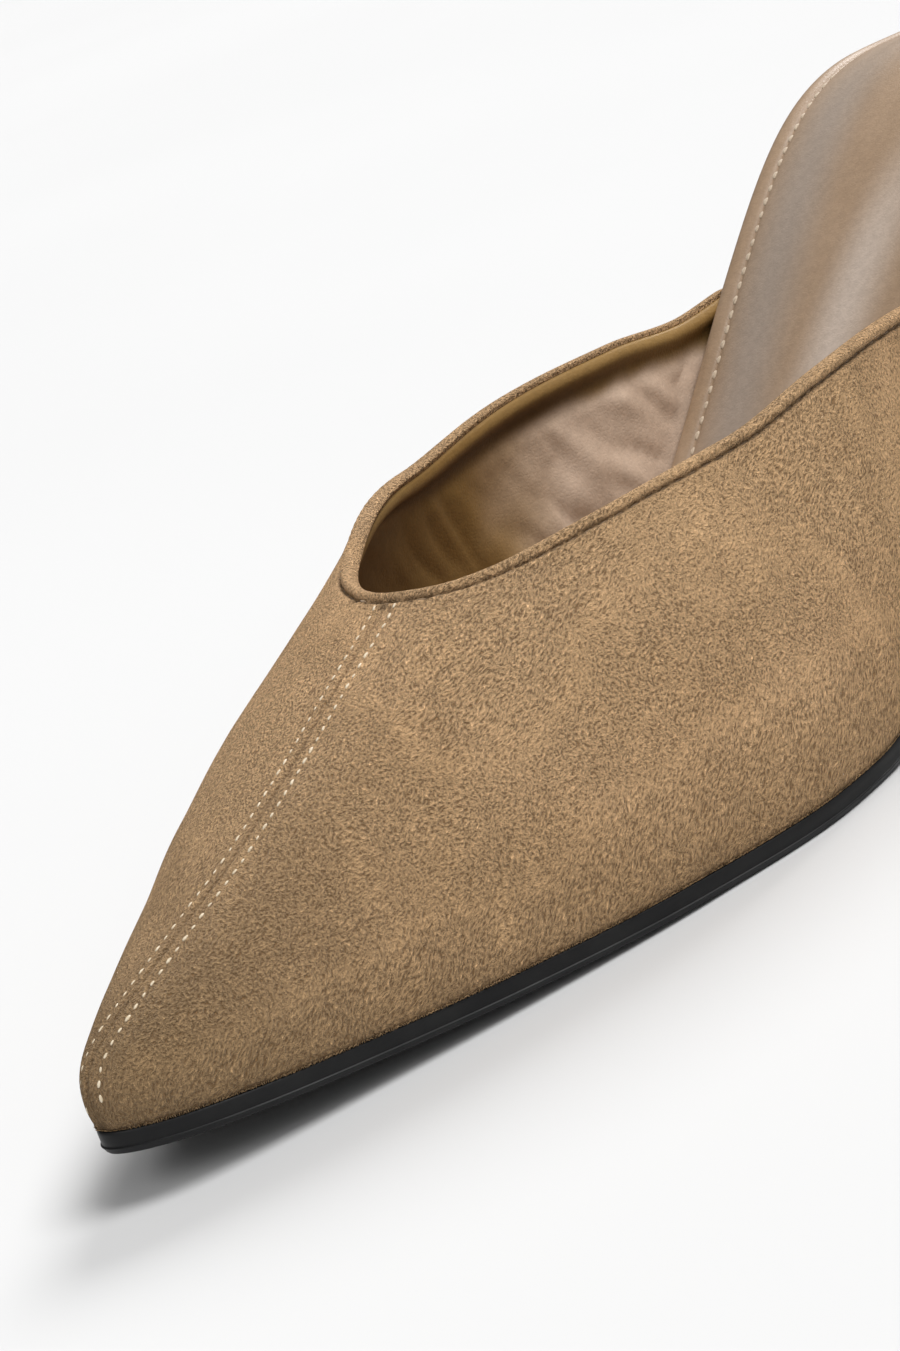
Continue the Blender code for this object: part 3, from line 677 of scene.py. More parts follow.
skin = skin_quads(index)
skin_normals = point_normals(last_skin, skin)
seam_line = np.concatenate([inner_grid[0, ::-1], inner_grid[1:ON_SEAM, 0]])
top_line = np.concatenate([outer_grid[:ON_SEAM - 1:-1, 0], inner_grid[ON_SEAM - 1:, 0]])
to_seam, seam_run = distance_to_path(last_skin, seam_line)
to_top, top_run = distance_to_path(last_skin, top_line)
print("seam", round(seam_run.max() / MM), "mm, topline", round(top_run.max() / MM), "mm")

# %% [markdown]
# ## Suede shell
#
# The suede's edge is folded over a cord of lining, so the topline ends in a roll about two
# millimetres wide. A row of stitches under it pulls a narrow groove. The closing seam is a fine
# valley between two folded edges, and the stitches beside it pull shallow dimples. Where seam and
# topline meet, the layers make a small knot. All of this is a height over the last, worked out at
# each point from its distance to the topline and the seam, which keeps the relief crisp right
# round the throat. The wall is thick at the fold, where the suede turns to the inside, and
# thinner below, where the lining takes over.

# %% Relief of the suede's outer face
TOP_PITCH = 2.4 * MM  # stitches under the roll
SEAM_PITCH = 1.68 * MM  # stitches beside the closing seam
SEAM_ROW = 1.75 * MM  # their distance from the seam
GROOVE = 1.5 * MM  # middle of the stitched groove, below the topline's edge
FOLD_DEPTH = 0.35 * MM  # how far the suede turns to the inside
FOLD_THINS = 0.45 * MM  # and over what length it thins out there
ROLL_HEIGHT = 0.40 * MM
BELOW_GROOVE_HEIGHT = 0.14 * MM
GROOVE_DEPTH = 0.72 * MM
VALLEY_DEPTH = 0.24 * MM
LIP_HEIGHT = 0.06 * MM
DIMPLE_DEPTH = 0.14 * MM
UNEVENNESS = 0.13 * MM  # soft dents that handling leaves
SINGLE_WALL = 0.95 * MM  # the suede without its fold
EDGE_SWELL = 0.6 * MM


def hill(value, centre, half):
    """1 at the centre, falling smoothly to 0 at half a width away."""
    t = np.clip(np.abs(value - centre) / half, 0, 1)
    return (1 + np.cos(math.pi * t)) / 2


def along_noise(run, lump, seed):
    """Noise that changes along a line alone, in lumps of this length."""
    return soft_noise(run / lump, 0 * run, seed)


def suede_relief():
    """Height of the suede over the last, and a mask, 0 to 1, of painted shade in the groove, the
    seam and along the foot.
    """
    pucker = 0.5 + 0.5 * np.cos(2 * math.pi * top_run / TOP_PITCH)
    waver = 0.10 * MM * along_noise(top_run, 1.9 * MM, 8)
    roll = ROLL_HEIGHT * hill(to_top, 0.50 * MM, 0.95 * MM) * (1 + 0.15 * pucker)
    roll += BELOW_GROOVE_HEIGHT * hill(to_top, 2.25 * MM, 0.8 * MM)
    groove = hill(to_top + waver, GROOVE, 0.42 * MM) * (0.58 + 0.42 * pucker)
    clear = step_between(GROOVE + 0.3 * MM, GROOVE + 1.6 * MM, to_top)
    nick = np.abs(along_noise(seam_run, 0.7 * MM, 21))
    valley = hill(to_seam, 0, 0.50 * MM) * clear * (0.7 + 0.6 * nick)
    knot = hill(to_seam, 0, 1.5 * MM) * hill(to_top, 2.2 * MM, 1.5 * MM) * nick
    lips = LIP_HEIGHT * hill(to_seam, 0.7 * MM, 0.5 * MM) * clear
    tension = 0.5 + 0.5 * np.cos(2 * math.pi * seam_run / SEAM_PITCH)
    dimple = DIMPLE_DEPTH * hill(to_seam, SEAM_ROW, 0.55 * MM) * (0.6 + 0.4 * tension) * clear
    x, z = last_skin[:, 0], last_skin[:, 2]
    up = (z - feather(from_toe_at(x))) / TUCK_HEIGHT
    tuck = (1 - np.clip(up, 0, 1)) ** 2 * FEATHER_TUCK
    uneven = soft_noise(x / (9 * MM) + 40, z / (7 * MM), 5)
    uneven += 0.3 * soft_noise(x / (4 * MM) + 40, z / (4 * MM), 6)
    uneven *= UNEVENNESS * step_between(3 * MM, 9 * MM, to_top)
    rise = roll - GROOVE_DEPTH * groove - VALLEY_DEPTH * valley + lips - dimple - tuck + uneven
    foot = 0.45 * (1 - step_between(0.0, 0.4, up))
    tip = 0.9 * hill(to_seam, 0, 0.8 * MM) * (1 - step_between(0.1, 0.7, up))
    # painted shade in the stitched groove, the seam's valley and knot, and along the foot
    shading_in_recesses = np.maximum.reduce([0.85 * groove, 0.40 * valley, knot, foot, tip])
    return rise, np.clip(shading_in_recesses, 0, 1)


def stand_on_feather(face):
    """Sets the lowest row of a face on the feather line, a fit gap above the sole."""
    foot = np.unique(index[:, :, -1])
    face[foot, 2] = feather(from_toe_at(face[foot, 0])) + FIT_GAP
    return face


# the second value is a mask of painted shade for the suede's finish
rise, suede_shade_mask = suede_relief()
outer_face = stand_on_feather(last_skin + skin_normals * rise[:, None])
below_fold = step_between(FOLD_DEPTH, FOLD_DEPTH + FOLD_THINS, to_top)
depth = UPPER_WALL - (UPPER_WALL - SINGLE_WALL) * below_fold
inner_face = stand_on_feather(last_skin - skin_normals * depth[:, None])
swell = EDGE_SWELL * (1 - step_between(0.0, 0.3 * MM, to_top))
shell_points, shell_faces, source = closed_wall(outer_face, inner_face, skin, 7, swell)
upper_suede = add_piece("upper_suede", shell_points, shell_faces, suede,
                        painted_shading_and_tone={"painted_shade": suede_shade_mask[source]})

# %% [markdown]
# ## Lining
#
# Inside, the suede's fold ends and a thin coated lining runs down to the insole. Glued over a
# hollow curve it never lies quite flat. Under the topline a piping rounds it out, and below that
# it is slack, with soft slanting wrinkles that gather towards the insole. The lining is its own
# thin wall, cut from the same grid below the fold, with piping and wrinkles as a height on its
# inner face. Two attributes tell its finish where it is painted lighter and where it has painted
# shade, in the fold under the piping and towards the toe.

# %% Lining with wrinkles
LINING_BACK = 1.05 * MM  # its glued face, inwards from the last's surface
LINING_FRONT = 1.72 * MM
LINING_TOP = 1.35 * MM  # the front where it comes out from under the fold
PIPING = 0.85 * MM
SLACKNESS = 0.45 * MM
WRINKLE_HEIGHT = 0.85 * MM
WRINKLE_SLANT = 0.45
LIT_PATCH_FROM = (99 * MM, 122 * MM)  # behind this the lining is painted lighter, along the shoe
SHADED_FROM = (110 * MM, 150 * MM)  # and ahead of this it has painted shade

lining_quads = skin[to_top[skin].min(1) > 0.1 * MM]
keep, packed = np.unique(lining_quads, return_inverse=True)
lining_quads = packed.reshape(lining_quads.shape)
base, base_normals = last_skin[keep], skin_normals[keep]
base_x = base[:, 0]
height = base[:, 2] - feather(from_toe_at(base_x))
edge = to_top[keep]
piping = PIPING * hill(edge, 1.8 * MM, 2.3 * MM) - SLACKNESS * hill(edge, 5.0 * MM, 3.0 * MM)
along = base_x - WRINKLE_SLANT * height
wrinkle = soft_noise(along / (4.6 * MM) + 50, height / (17 * MM), 11)
wrinkle += 0.6 * soft_noise(along / (2.3 * MM) + 90, height / (9 * MM), 12)
wrinkle = np.abs(wrinkle) * 1.6 - 0.6
gather = (1 - 0.5 * step_between(14 * MM, 38 * MM, height)) * step_between(0.5, 5, height / MM)
gather *= step_between(4 * MM, 9 * MM, edge)
inwards = LINING_FRONT - LINING_TOP + piping + WRINKLE_HEIGHT * wrinkle * gather
inwards = LINING_TOP + inwards * step_between(0.0, 0.7 * MM, edge)
lining_back = base - base_normals * LINING_BACK
lining_front = base - base_normals * inwards[:, None]
low = height < 0.3 * MM
for face in (lining_back, lining_front):
    face[low, 2] = feather(from_toe_at(face[low, 0])) + FIT_GAP
print("lining:", len(base), "points, relief", round(np.ptp(inwards) / MM, 1), "mm")

# %% Where the lining is painted lighter and where it has painted shade
wobble = 3.0 * MM * soft_noise(base_x / (9 * MM) + 70, height / (6 * MM), 13)
# painted light: lighter towards the back and away from the topline
painted_lit_patch = 1 - step_between(*LIT_PATCH_FROM, base_x + wobble)
painted_lit_patch *= step_between(3.6 * MM, 6.4 * MM, edge + 0.4 * wobble)
# painted shade in the fold under the piping, and towards the toe
fold_shade = hill(edge, 3.9 * MM, 3.5 * MM) * (0.55 + 0.45 * step_between(70 * MM, 105 * MM, base_x))
in_shade = 0.75 * step_between(*SHADED_FROM, base_x) * step_between(3 * MM, 7 * MM, edge)
painted_shade = np.maximum(fold_shade, in_shade)
lining_points, lining_faces, source = closed_wall(lining_back, lining_front, lining_quads, 2)
upper_lining = add_piece("upper_lining", lining_points, lining_faces, lining_leather,
                         painted_shading_and_tone={"painted_lit_patch": painted_lit_patch[source], "painted_shade": painted_shade[source]})
for piece in (upper_suede, upper_lining):
    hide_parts("upper")

# %% [markdown]
# ## Insole
#
# The insole is a board with thin foam and a cover that wraps its edge. A row of stitches four
# millimetres in holds a rolled rim, and the middle is softly padded. It is made of rings: the
# feather line drawn in step by step, each at the height that the rim's profile gives, and at last
# onto the line down the middle, so that the top has no hole and no long thin faces. Its cover has
# a painted grey reflection along the outer side and a painted highlight in a slanting streak,
# which are attributes of its points.


# %% Rings round the feather line
def feather_loop(steps):
    """The feather line once round from the toe point: inner side, seat, outer side."""
    share = (1 - np.cos(np.linspace(0, math.pi, steps + 1))) / 2
    for mark in (TREAD_START, TREAD_END):
        share[np.abs(share - mark).argmin()] = mark
    from_toe = share * LAST_LENGTH
    inner = np.stack([x_at(from_toe), half_width(from_toe, 1)], -1)
    outer = np.stack([x_at(from_toe), -half_width(from_toe, -1)], -1)
    return np.concatenate([inner, outer[-2:0:-1]])


def drawn_in(loop, inset):
    run = np.roll(loop, -1, 0) - np.roll(loop, 1, 0)
    run /= np.linalg.norm(run, axis=1)[:, None]
    outward = np.stack([run[:, 1], -run[:, 0]], -1)
    return loop - outward * np.broadcast_to(np.asarray(inset, float), len(loop))[:, None]


def ring_faces(rings, count):
    faces = []
    for k in range(rings - 1):
        for i in range(count):
            j = (i + 1) % count
            faces.append([k * count + j, k * count + i, (k + 1) * count + i, (k + 1) * count + j])
    return faces


def across_faces(start, count, turn):
    """Closes a ring straight across from side to side."""
    faces = []
    for i in range(count // 2):
        quad = [i, i + 1, (count - i - 1) % count, (count - i) % count]
        corners = [start + v for v in dict.fromkeys(quad)]
        if len(corners) > 2:
            faces.append(corners[::turn])
    return faces


def solid_faces(rings, count):
    """Faces of a stack of rings that is closed straight across at both ends."""
    top = (rings - 1) * count
    return ring_faces(rings, count) + across_faces(0, count, 1) + across_faces(top, count, -1)


# %% Insole with its rolled rim
INSOLE_STEPS = 230
# Across the rim, 0 at its edge and 1 at the stitches, and the height there over the edge's
RIM_PLACES = (0.0, 0.10, 0.28, 0.55, 0.85, 1.0, 1.18, 1.6, 3.2)
RIM_HEIGHTS = (0.62, 0.80, 0.97, 1.03, 0.96, 0.84, 0.97, 1.06, 1.19)
LOWER_EDGE = ((0.2, 0.0), (0.04, 0.12), (0.0, 0.35))  # place and height, rounded under
CROWN = 0.05  # how much higher the middle is than the last of these
FULL_RIM = 6.4 * RIM_WIDTH  # the rim slims where half the insole is narrower than this
SPINE_BACK = 20 * MM  # the middle line stops this far from the seat's back
SPINE_FRONT = 9 * MM  # and this far from the toe
rim_edge = smooth_curve(RIM_PLACES, RIM_HEIGHTS)
insole_loop = feather_loop(INSOLE_STEPS)
count = len(insole_loop)
loop_toe = from_toe_at(insole_loop[:, 0])
narrow = np.minimum(half_width(loop_toe, 1), half_width(loop_toe, -1))
slim = np.clip(narrow / FULL_RIM, 0.05, 1.0)
clearance = UPPER_WALL + 2 * FIT_GAP


def middle_and_half(from_toe):
    """Where the middle of the sole lies across the shoe, and half its breadth."""
    inner, outer = half_width(from_toe, 1), half_width(from_toe, -1)
    return (inner - outer) / 2, (inner + outer) / 2


def at_height(flat, up):
    height = feather(from_toe_at(flat[:, 0])) + FIT_GAP + up * INSOLE_EDGE
    return np.column_stack([flat, height])


def insole_ring(inset, up):
    return at_height(drawn_in(insole_loop, clearance + inset * RIM_WIDTH * slim), up)


insets = np.concatenate([np.linspace(0, 1.5, 26), np.linspace(1.5, RIM_PLACES[-1], 9)[1:]])
rings = [insole_ring(inset, up) for inset, up in LOWER_EDGE]
rings += [insole_ring(inset, rim_edge(inset)) for inset in insets]
spine = np.column_stack([insole_loop[:, 0], middle_and_half(loop_toe)[0]])
spine[:, 0] = np.clip(spine[:, 0], x_at(LAST_LENGTH) + SPINE_BACK, x_at(0) - SPINE_FRONT)
last_ring = rings[-1][:, :2]
for t in np.linspace(0, 1, 12)[1:]:
    crown = RIM_HEIGHTS[-1] + CROWN * math.sin(t * math.pi / 2)
    rings.append(at_height(last_ring + (spine - last_ring) * t, crown))
insole_points = np.concatenate(rings)
insole_faces = ring_faces(len(rings), count) + across_faces(0, count, 1)
print("insole:", len(rings), "rings of", count, "points")

# %% Painted reflection and highlight streaks along the insole's cover
# A painted grey reflection and a painted highlight, as streaks on the insole's cover
# Middle and half width across the shoe, as shares of half its breadth there
GREY_REFLECTION_STREAK = (-0.52, 0.34)
HIGHLIGHT_STREAK = (0.06, 0.30)
HIGHLIGHT_SLANT = 6.5  # how far the painted highlight moves across, in such shares to a metre
HIGHLIGHT_CROSSES = 66 * MM  # where along the shoe it lies at the place given

point_x = insole_points[:, 0]
middle, half_breadth = middle_and_half(from_toe_at(point_x))
across = (insole_points[:, 1] - middle) / half_breadth  # -1 on the outer side, 1 on the inner
# painted grey reflection along the outer side
painted_grey_reflection = hill(across, *GREY_REFLECTION_STREAK) * step_between(-5 * MM, 30 * MM, point_x)
painted_grey_reflection *= 1 - step_between(84 * MM, 130 * MM, point_x)
# painted highlight in a slanting streak
slanting = across + HIGHLIGHT_SLANT * (point_x - HIGHLIGHT_CROSSES)
painted_highlight = hill(slanting, *HIGHLIGHT_STREAK) * step_between(28 * MM, 60 * MM, point_x)
painted_highlight *= 1 - step_between(74 * MM, 108 * MM, point_x)
insole = add_piece("insole_cover", insole_points, insole_faces, sock_leather,
                   painted_shading_and_tone={"painted_grey_reflection": painted_grey_reflection, "painted_highlight": painted_highlight})
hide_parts("insole")

# %% [markdown]
# ## Outsole
#
# The sole is a thin rubber sheet cut to the feather line, and narrower than it behind the wings.
# Its edge shows in the photograph as a dark band with one fine line low down, over a small bevel.
# The rings are the CAD's, drawn much finer, with the edge slightly hollow and the line cut as a
# narrow step. At the heel's breast the rings end, because the heel covers the sole's place there.


# %% Outsole edge and tread
def after_wings(from_toe):
    wing = max(INNER_WING_LENGTH, OUTER_WING_LENGTH)
    return step_between(wing, wing + WAIST_RUN, from_toe)


def sole_edge(from_toe):
    t = step_between(0, THINNING_RUN, np.asarray(from_toe) - TREAD_END * LAST_LENGTH)
    return SOLE_EDGE + (WAIST_EDGE - SOLE_EDGE) * t


SOLE_STEPS = 260
# Inset from the edge and height, both in millimetres, from the floor's face up to the feather
SOLE_PROFILE = (
    (0.90, 0.00), (0.55, 0.05), (0.38, 0.22), (0.24, 0.48), (0.10, 0.72), (0.02, 0.84),
    (0.00, 0.90), (0.02, 0.95), (0.14, 1.02), (0.20, 1.06), (0.18, 1.5), (0.17, 2.0), (0.18, 2.6),
    (0.22, 2.85), (0.34, 3.0),
)
sole_loop = feather_loop(SOLE_STEPS)
sole_inset = WAIST_INSET * after_wings(from_toe_at(sole_loop[:, 0]))
breast = x_at(LAST_LENGTH - HEEL_BREAST - FIT_GAP)
rings = []
for inset, up in SOLE_PROFILE:
    flat = drawn_in(sole_loop, sole_inset + inset * MM)
    flat[:, 0] = np.maximum(flat[:, 0], breast)
    at = from_toe_at(flat[:, 0])
    rings.append(np.column_stack([flat, feather(at) - sole_edge(at) * (1 - up * MM / SOLE_EDGE)]))
half = len(sole_loop) // 2
last = next(i for i in range(half) if rings[0][i][0] <= breast or rings[4][i][0] <= breast)
keep = list(range(last + 1)) + list(range(len(sole_loop) - last, len(sole_loop)))
rings = [ring[keep] for ring in rings]
count = len(keep)
outsole = add_piece("outsole_rubber", np.concatenate(rings), solid_faces(len(rings), count),
                    sole_rubber, sharp=40)
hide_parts("outsole")

# %% [markdown]
# ## Heel
#
# The heel is a moulded block covered in the same suede, pulled round it and closed at the front.
# It narrows from the seat's outline to a small rubber tip. The rings run from the tip up to the
# seat, and a shallow seam down the middle of the front is where the cover meets. The photograph
# cuts the heel off, so it is kept as plain as such heels are.

# %% Outlines of the heel's two ends
AROUND = 180
TIP_AROUND = 120
LOOKUP_STEPS = 400  # of the outline that the seat's widths are looked up in


def power_of(value, exponent):
    return np.sign(value) * np.abs(value) ** exponent


def tip_loop(steps, inset=0.0):
    angle = np.linspace(0, 2 * math.pi, steps, endpoint=False)
    x = power_of(np.cos(angle), 2 / TIP_SQUARENESS) * (TIP_LENGTH / 2 - inset)
    y = power_of(np.sin(angle), 2 / TIP_SQUARENESS) * (TIP_WIDTH / 2 - inset)
    return np.column_stack([x, y])


def seat_loop(steps):
    outline = drawn_in(feather_loop(LOOKUP_STEPS), WAIST_INSET)
    half = len(outline) // 2
    behind = slice(half // 2, half + 1)
    inner = outline[: half + 1][behind][::-1]
    outer = np.roll(outline, -1, 0)[::-1][: half + 1][behind][::-1]
    front, back = x_at(LAST_LENGTH - HEEL_BREAST), outline[:, 0].min()
    angle = np.linspace(0, 2 * math.pi, steps, endpoint=False)
    cos, sin = np.cos(angle), np.sin(angle)
    x = (front + back) / 2 + power_of(cos, BREAST_SQUARENESS) * (front - back) / 2
    inner_y = np.interp(x, inner[:, 0], inner[:, 1])
    outer_y = np.interp(x, outer[:, 0], outer[:, 1])
    share = np.where(cos > 0, np.abs(sin) ** BREAST_SQUARENESS, 1)
    return np.column_stack([x, np.where(sin >= 0, inner_y, outer_y) * share])


seat, tip = seat_loop(AROUND), tip_loop(AROUND)
print("seat", round(np.ptp(seat[:, 0]) / MM), "mm long, tip", round(np.ptp(tip[:, 0]) / MM), "mm")

# %% Heel cover
HEEL_LEVELS = 70
COVER_SEAM_HALF = 0.05  # half width of the seam down the front, as an angle
COVER_SEAM_DEPTH = 0.25 * MM
angle = np.linspace(0, 2 * math.pi, AROUND, endpoint=False)
fore = (1 + np.cos(angle)) / 2
heel_curves = [smooth_curve(column(HEEL_RINGS, 0), column(HEEL_RINGS, k)) for k in (1, 2, 3)]
foot = TIP_THICKNESS + FIT_GAP
front_seam = np.exp(-((np.minimum(angle, 2 * math.pi - angle) / COVER_SEAM_HALF) ** 2))
rings = []
for down in np.linspace(1, 0, HEEL_LEVELS):
    back, front, side = (curve(down) for curve in heel_curves)
    along = back + (front - back) * fore
    x = seat[:, 0] + (tip[:, 0] - seat[:, 0]) * along
    y = seat[:, 1] + (tip[:, 1] - seat[:, 1]) * side
    x = x - front_seam * COVER_SEAM_DEPTH
    z = foot + (feather(from_toe_at(x)) - foot) * (1 - down)
    rings.append(np.column_stack([x, y, z]))
heel = add_piece("heel_cover", np.concatenate(rings), solid_faces(len(rings), AROUND), suede,
                 sharp=60)
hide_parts("heel")

# %% Heel tip
# Inset from the tip's outline and height over the floor, both in millimetres
TIP_PROFILE = ((0.9, 0.0), (0.35, 0.12), (0.08, 0.4), (0.0, 0.8), (0.0, 4.4), (0.12, 4.7),
               (0.12, 4.9), (0.0, 5.15), (0.0, 5.5))
rings = [np.column_stack([tip_loop(TIP_AROUND, inset * MM), np.full(TIP_AROUND, up * MM)])
         for inset, up in TIP_PROFILE]
heel_pad = add_piece("heel_tip_rubber", np.concatenate(rings),
                     solid_faces(len(rings), TIP_AROUND), tip_rubber, sharp=40)
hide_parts("heel_tip")

# %% [markdown]
# ## Stitches
#
# A row of stitches is one small shape repeated along a path, which is what Geometry Nodes are
# best at. The tree takes a path, cuts it at the stitch length, turns each stitch along the path
# and square to the cloth under it, and lets length and turn vary a little, as hand-fed sewing
# does. The same tree sews the vamp, the topline and the insole, each with its own inputs. It also
# lays the loose fibres along the sole, as very short and wide stitches that sway a lot.


# %% Inputs of the sewing tree
def new_stitch_tree():
    tree = bpy.data.node_groups.new("stitch row", "GeometryNodeTree")
    face = tree.interface
    face.new_socket("Path", in_out="INPUT", socket_type="NodeSocketGeometry")
    for name, kind, value in (
        ("Pitch", "Float", 2.8 * MM), ("Length", "Float", 2.1 * MM), ("Width", "Float", 0.5 * MM),
        ("Height", "Float", 0.4 * MM), ("Lift", "Float", 0.05 * MM), ("Turn", "Float", 0.06),
        ("Least", "Float", 0.88), ("Sides", "Int", 12), ("Seed", "Int", 3),
        ("Cloth", "Object", None), ("Finish", "Material", None),
    ):
        made = face.new_socket(name, in_out="INPUT", socket_type="NodeSocket" + kind)
        if value is not None:
            made.default_value = value
    face.new_socket("Stitches", in_out="OUTPUT", socket_type="NodeSocketGeometry")
    return tree


# %% One stitch, and the way it lies
LARGEST = 1.08  # the longest stitch over the usual one, where Least is the shortest
RINGS_PER_SIDE = 0.65
SEED_STEP = 17.0  # keeps the lengths' random numbers apart from the turns'


def one_stitch(node, given):
    """A bead drawn out to the stitch's size and lifted off the cloth."""
    bands = node("ShaderNodeMath", {0: given["Sides"], 1: RINGS_PER_SIDE}, operation="MULTIPLY")
    bead = node("GeometryNodeMeshUVSphere", {"Segments": given["Sides"],
                                             "Rings": bands.outputs[0], "Radius": 0.5})
    size = node("ShaderNodeCombineXYZ", {"X": given["Length"], "Y": given["Width"],
                                         "Z": given["Height"]})
    lift = node("ShaderNodeCombineXYZ", {"Z": given["Lift"]})
    return node("GeometryNodeTransform", {"Geometry": bead.outputs["Mesh"],
                                          "Translation": lift.outputs[0],
                                          "Scale": size.outputs[0]}).outputs[0]


def lying_on_cloth(node, given):
    """The turn of each stitch: along the path, square to the cloth, and then a random sway."""
    cloth = node("GeometryNodeObjectInfo", {"Object": given["Cloth"]}, transform_space="RELATIVE")
    normal = node("GeometryNodeInputNormal")
    where = node("GeometryNodeInputPosition")
    under = node("GeometryNodeSampleNearestSurface",
                 {"Mesh": cloth.outputs["Geometry"], "Value": normal.outputs[0],
                  "Sample Position": where.outputs[0]}, data_type="FLOAT_VECTOR")
    tangent = node("GeometryNodeInputTangent")
    turned = node("FunctionNodeAlignRotationToVector", {"Vector": tangent.outputs[0]}, axis="X")
    square = node("FunctionNodeAlignRotationToVector",
                  {"Rotation": turned.outputs[0], "Vector": under.outputs[0]},
                  axis="Z", pivot_axis="X")
    back = node("ShaderNodeMath", {0: given["Turn"], 1: -1.0}, operation="MULTIPLY")
    sway = node("FunctionNodeRandomValue",
                {"Seed": given["Seed"], 2: back.outputs[0], 3: given["Turn"]}, data_type="FLOAT")
    swing = node("ShaderNodeCombineXYZ", {"Z": sway.outputs[1]})
    as_turn = node("FunctionNodeEulerToRotation", {"Euler": swing.outputs[0]})
    return node("FunctionNodeRotateRotation",
                {"Rotation": square.outputs[0], "Rotate By": as_turn.outputs[0]},
                rotation_space="LOCAL").outputs[0]


# %% A tree that sews along a path
def stitch_tree():
    tree = new_stitch_tree()

    def node(kind, inputs=None, **settings):
        return add_node(tree, kind, inputs, **settings)

    given = node("NodeGroupInput").outputs
    path = node("GeometryNodeMeshToCurve", {"Mesh": given["Path"]})
    cut = node("GeometryNodeResampleCurve",
               {"Curve": path.outputs[0], "Length": given["Pitch"]}, mode="LENGTH")
    seed = node("ShaderNodeMath", {0: given["Seed"], 1: SEED_STEP}, operation="ADD")
    length = node("FunctionNodeRandomValue",
                  {"Seed": seed.outputs[0], 2: given["Least"], 3: LARGEST}, data_type="FLOAT")
    placed = node("GeometryNodeInstanceOnPoints",
                  {"Points": cut.outputs[0], "Instance": one_stitch(node, given),
                   "Rotation": lying_on_cloth(node, given), "Scale": length.outputs[1]})
    real = node("GeometryNodeRealizeInstances", {"Geometry": placed.outputs[0]})
    smooth = node("GeometryNodeSetShadeSmooth", {"Geometry": real.outputs[0]})
    finished = node("GeometryNodeSetMaterial", {"Geometry": smooth.outputs[0],
                                                "Material": given["Finish"]})
    node("NodeGroupOutput", {0: finished.outputs[0]})
    return tree


STITCHES = stitch_tree()
print("the sewing tree has", len(STITCHES.nodes), "nodes")


# %% Sew a row
def sew(name, path, cloth, finish, slot="thread", **inputs):
    """Runs the stitch tree along a line of points and keeps the result as a plain mesh."""
    mesh = bpy.data.meshes.new(name + "_path")
    links = [(i, i + 1) for i in range(len(path) - 1)]
    mesh.from_pydata(np.asarray(path, float).tolist(), links, [])
    guide = bpy.data.objects.new(name + "_path", mesh)
    bpy.context.scene.collection.objects.link(guide)
    step = guide.modifiers.new("stitches", "NODES")
    step.node_group = STITCHES
    by_name = {item.name: item.identifier for item in STITCHES.interface.items_tree
               if item.in_out == "INPUT"}
    for key, value in {**inputs, "Cloth": cloth, "Finish": finish}.items():
        step[by_name[key]] = value
    bpy.context.view_layer.update()
    graph = bpy.context.evaluated_depsgraph_get()
    sewn = bpy.data.meshes.new_from_object(guide.evaluated_get(graph))
    sewn.name = name
    bpy.data.objects.remove(guide)
    piece = bpy.data.objects.new(name, sewn)
    bpy.context.scene.collection.objects.link(piece)
    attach(piece, "root")
    print(name, "has", len(sewn.polygons), "faces")


# %% Rows beside the closing seam
PANELS = ((1, "inner"), (-1, "outer"))
CLEAR_OF_GROOVE = 0.9 * MM  # no vamp stitch lies nearer to the topline's groove


def stations_of(side):
    """Points of one panel, station by station, each from its edge down."""
    return index[0 if side > 0 else 1]


def line_at(side, field, distance, stations):
    """Where a field over one panel first reaches a value, station by station."""
    at = stations_of(side)
    line = []
    for i in stations:
        values, points = field[at[i]], outer_face[at[i]]
        over = np.flatnonzero((values[:-1] < distance) & (values[1:] >= distance))
        if len(over) == 0:
            continue
        j = int(over[0])
        t = (distance - values[j]) / (values[j + 1] - values[j])
        line.append(points[j] + (points[j + 1] - points[j]) * t)
    return np.array(line)


for side, name in PANELS:
    row = line_at(side, to_seam, SEAM_ROW, range(ON_SEAM + 6))
    row = row[distance_to_path(row, top_line)[0] > GROOVE + CLEAR_OF_GROOVE]
    lift = 0.02 * MM if side > 0 else -0.05 * MM  # the outer row is drawn in deeper
    sew("vamp_stitches_" + name, row, upper_suede, cream_thread, Pitch=SEAM_PITCH,
        Length=1.0 * MM, Width=0.46 * MM, Height=0.36 * MM, Lift=lift, Turn=0.22, Least=0.66,
        Seed=4)

# %% Loose fibres along the sole
for side, name in PANELS:
    foot = stations_of(side)[:, -1]
    foot_line = outer_face[foot] + 0.15 * MM * skin_normals[foot]
    foot_line[:, 2] -= 0.05 * MM
    sew("suede_fibres_" + name, foot_line, upper_suede, suede, "suede", Pitch=0.27 * MM,
        Length=0.20 * MM, Width=0.95 * MM, Height=0.16 * MM, Lift=0.0, Turn=0.9, Least=0.5,
        Sides=6, Seed=12)

# %% Topline and insole stitches
HIDDEN_TOE = 60 * MM  # nearer the toe than this the vamp hides the insole's stitches
for side, name in PANELS:
    row = line_at(side, to_top, GROOVE, range(8, STATIONS - 2))
    sew("topline_stitches_" + name, row, upper_suede, brown_thread, Pitch=TOP_PITCH,
        Length=1.7 * MM, Width=0.34 * MM, Height=0.30 * MM, Lift=0.0, Seed=7)
sock_row = insole_ring(1.0, rim_edge(1.0))
sock_row = sock_row[from_toe_at(sock_row[:, 0]) > HIDDEN_TOE]
sew("insole_stitches", sock_row, insole, sock_thread, Pitch=2.7 * MM,
    Length=1.6 * MM, Width=1.0 * MM, Height=0.5 * MM, Lift=0.02 * MM, Seed=9)

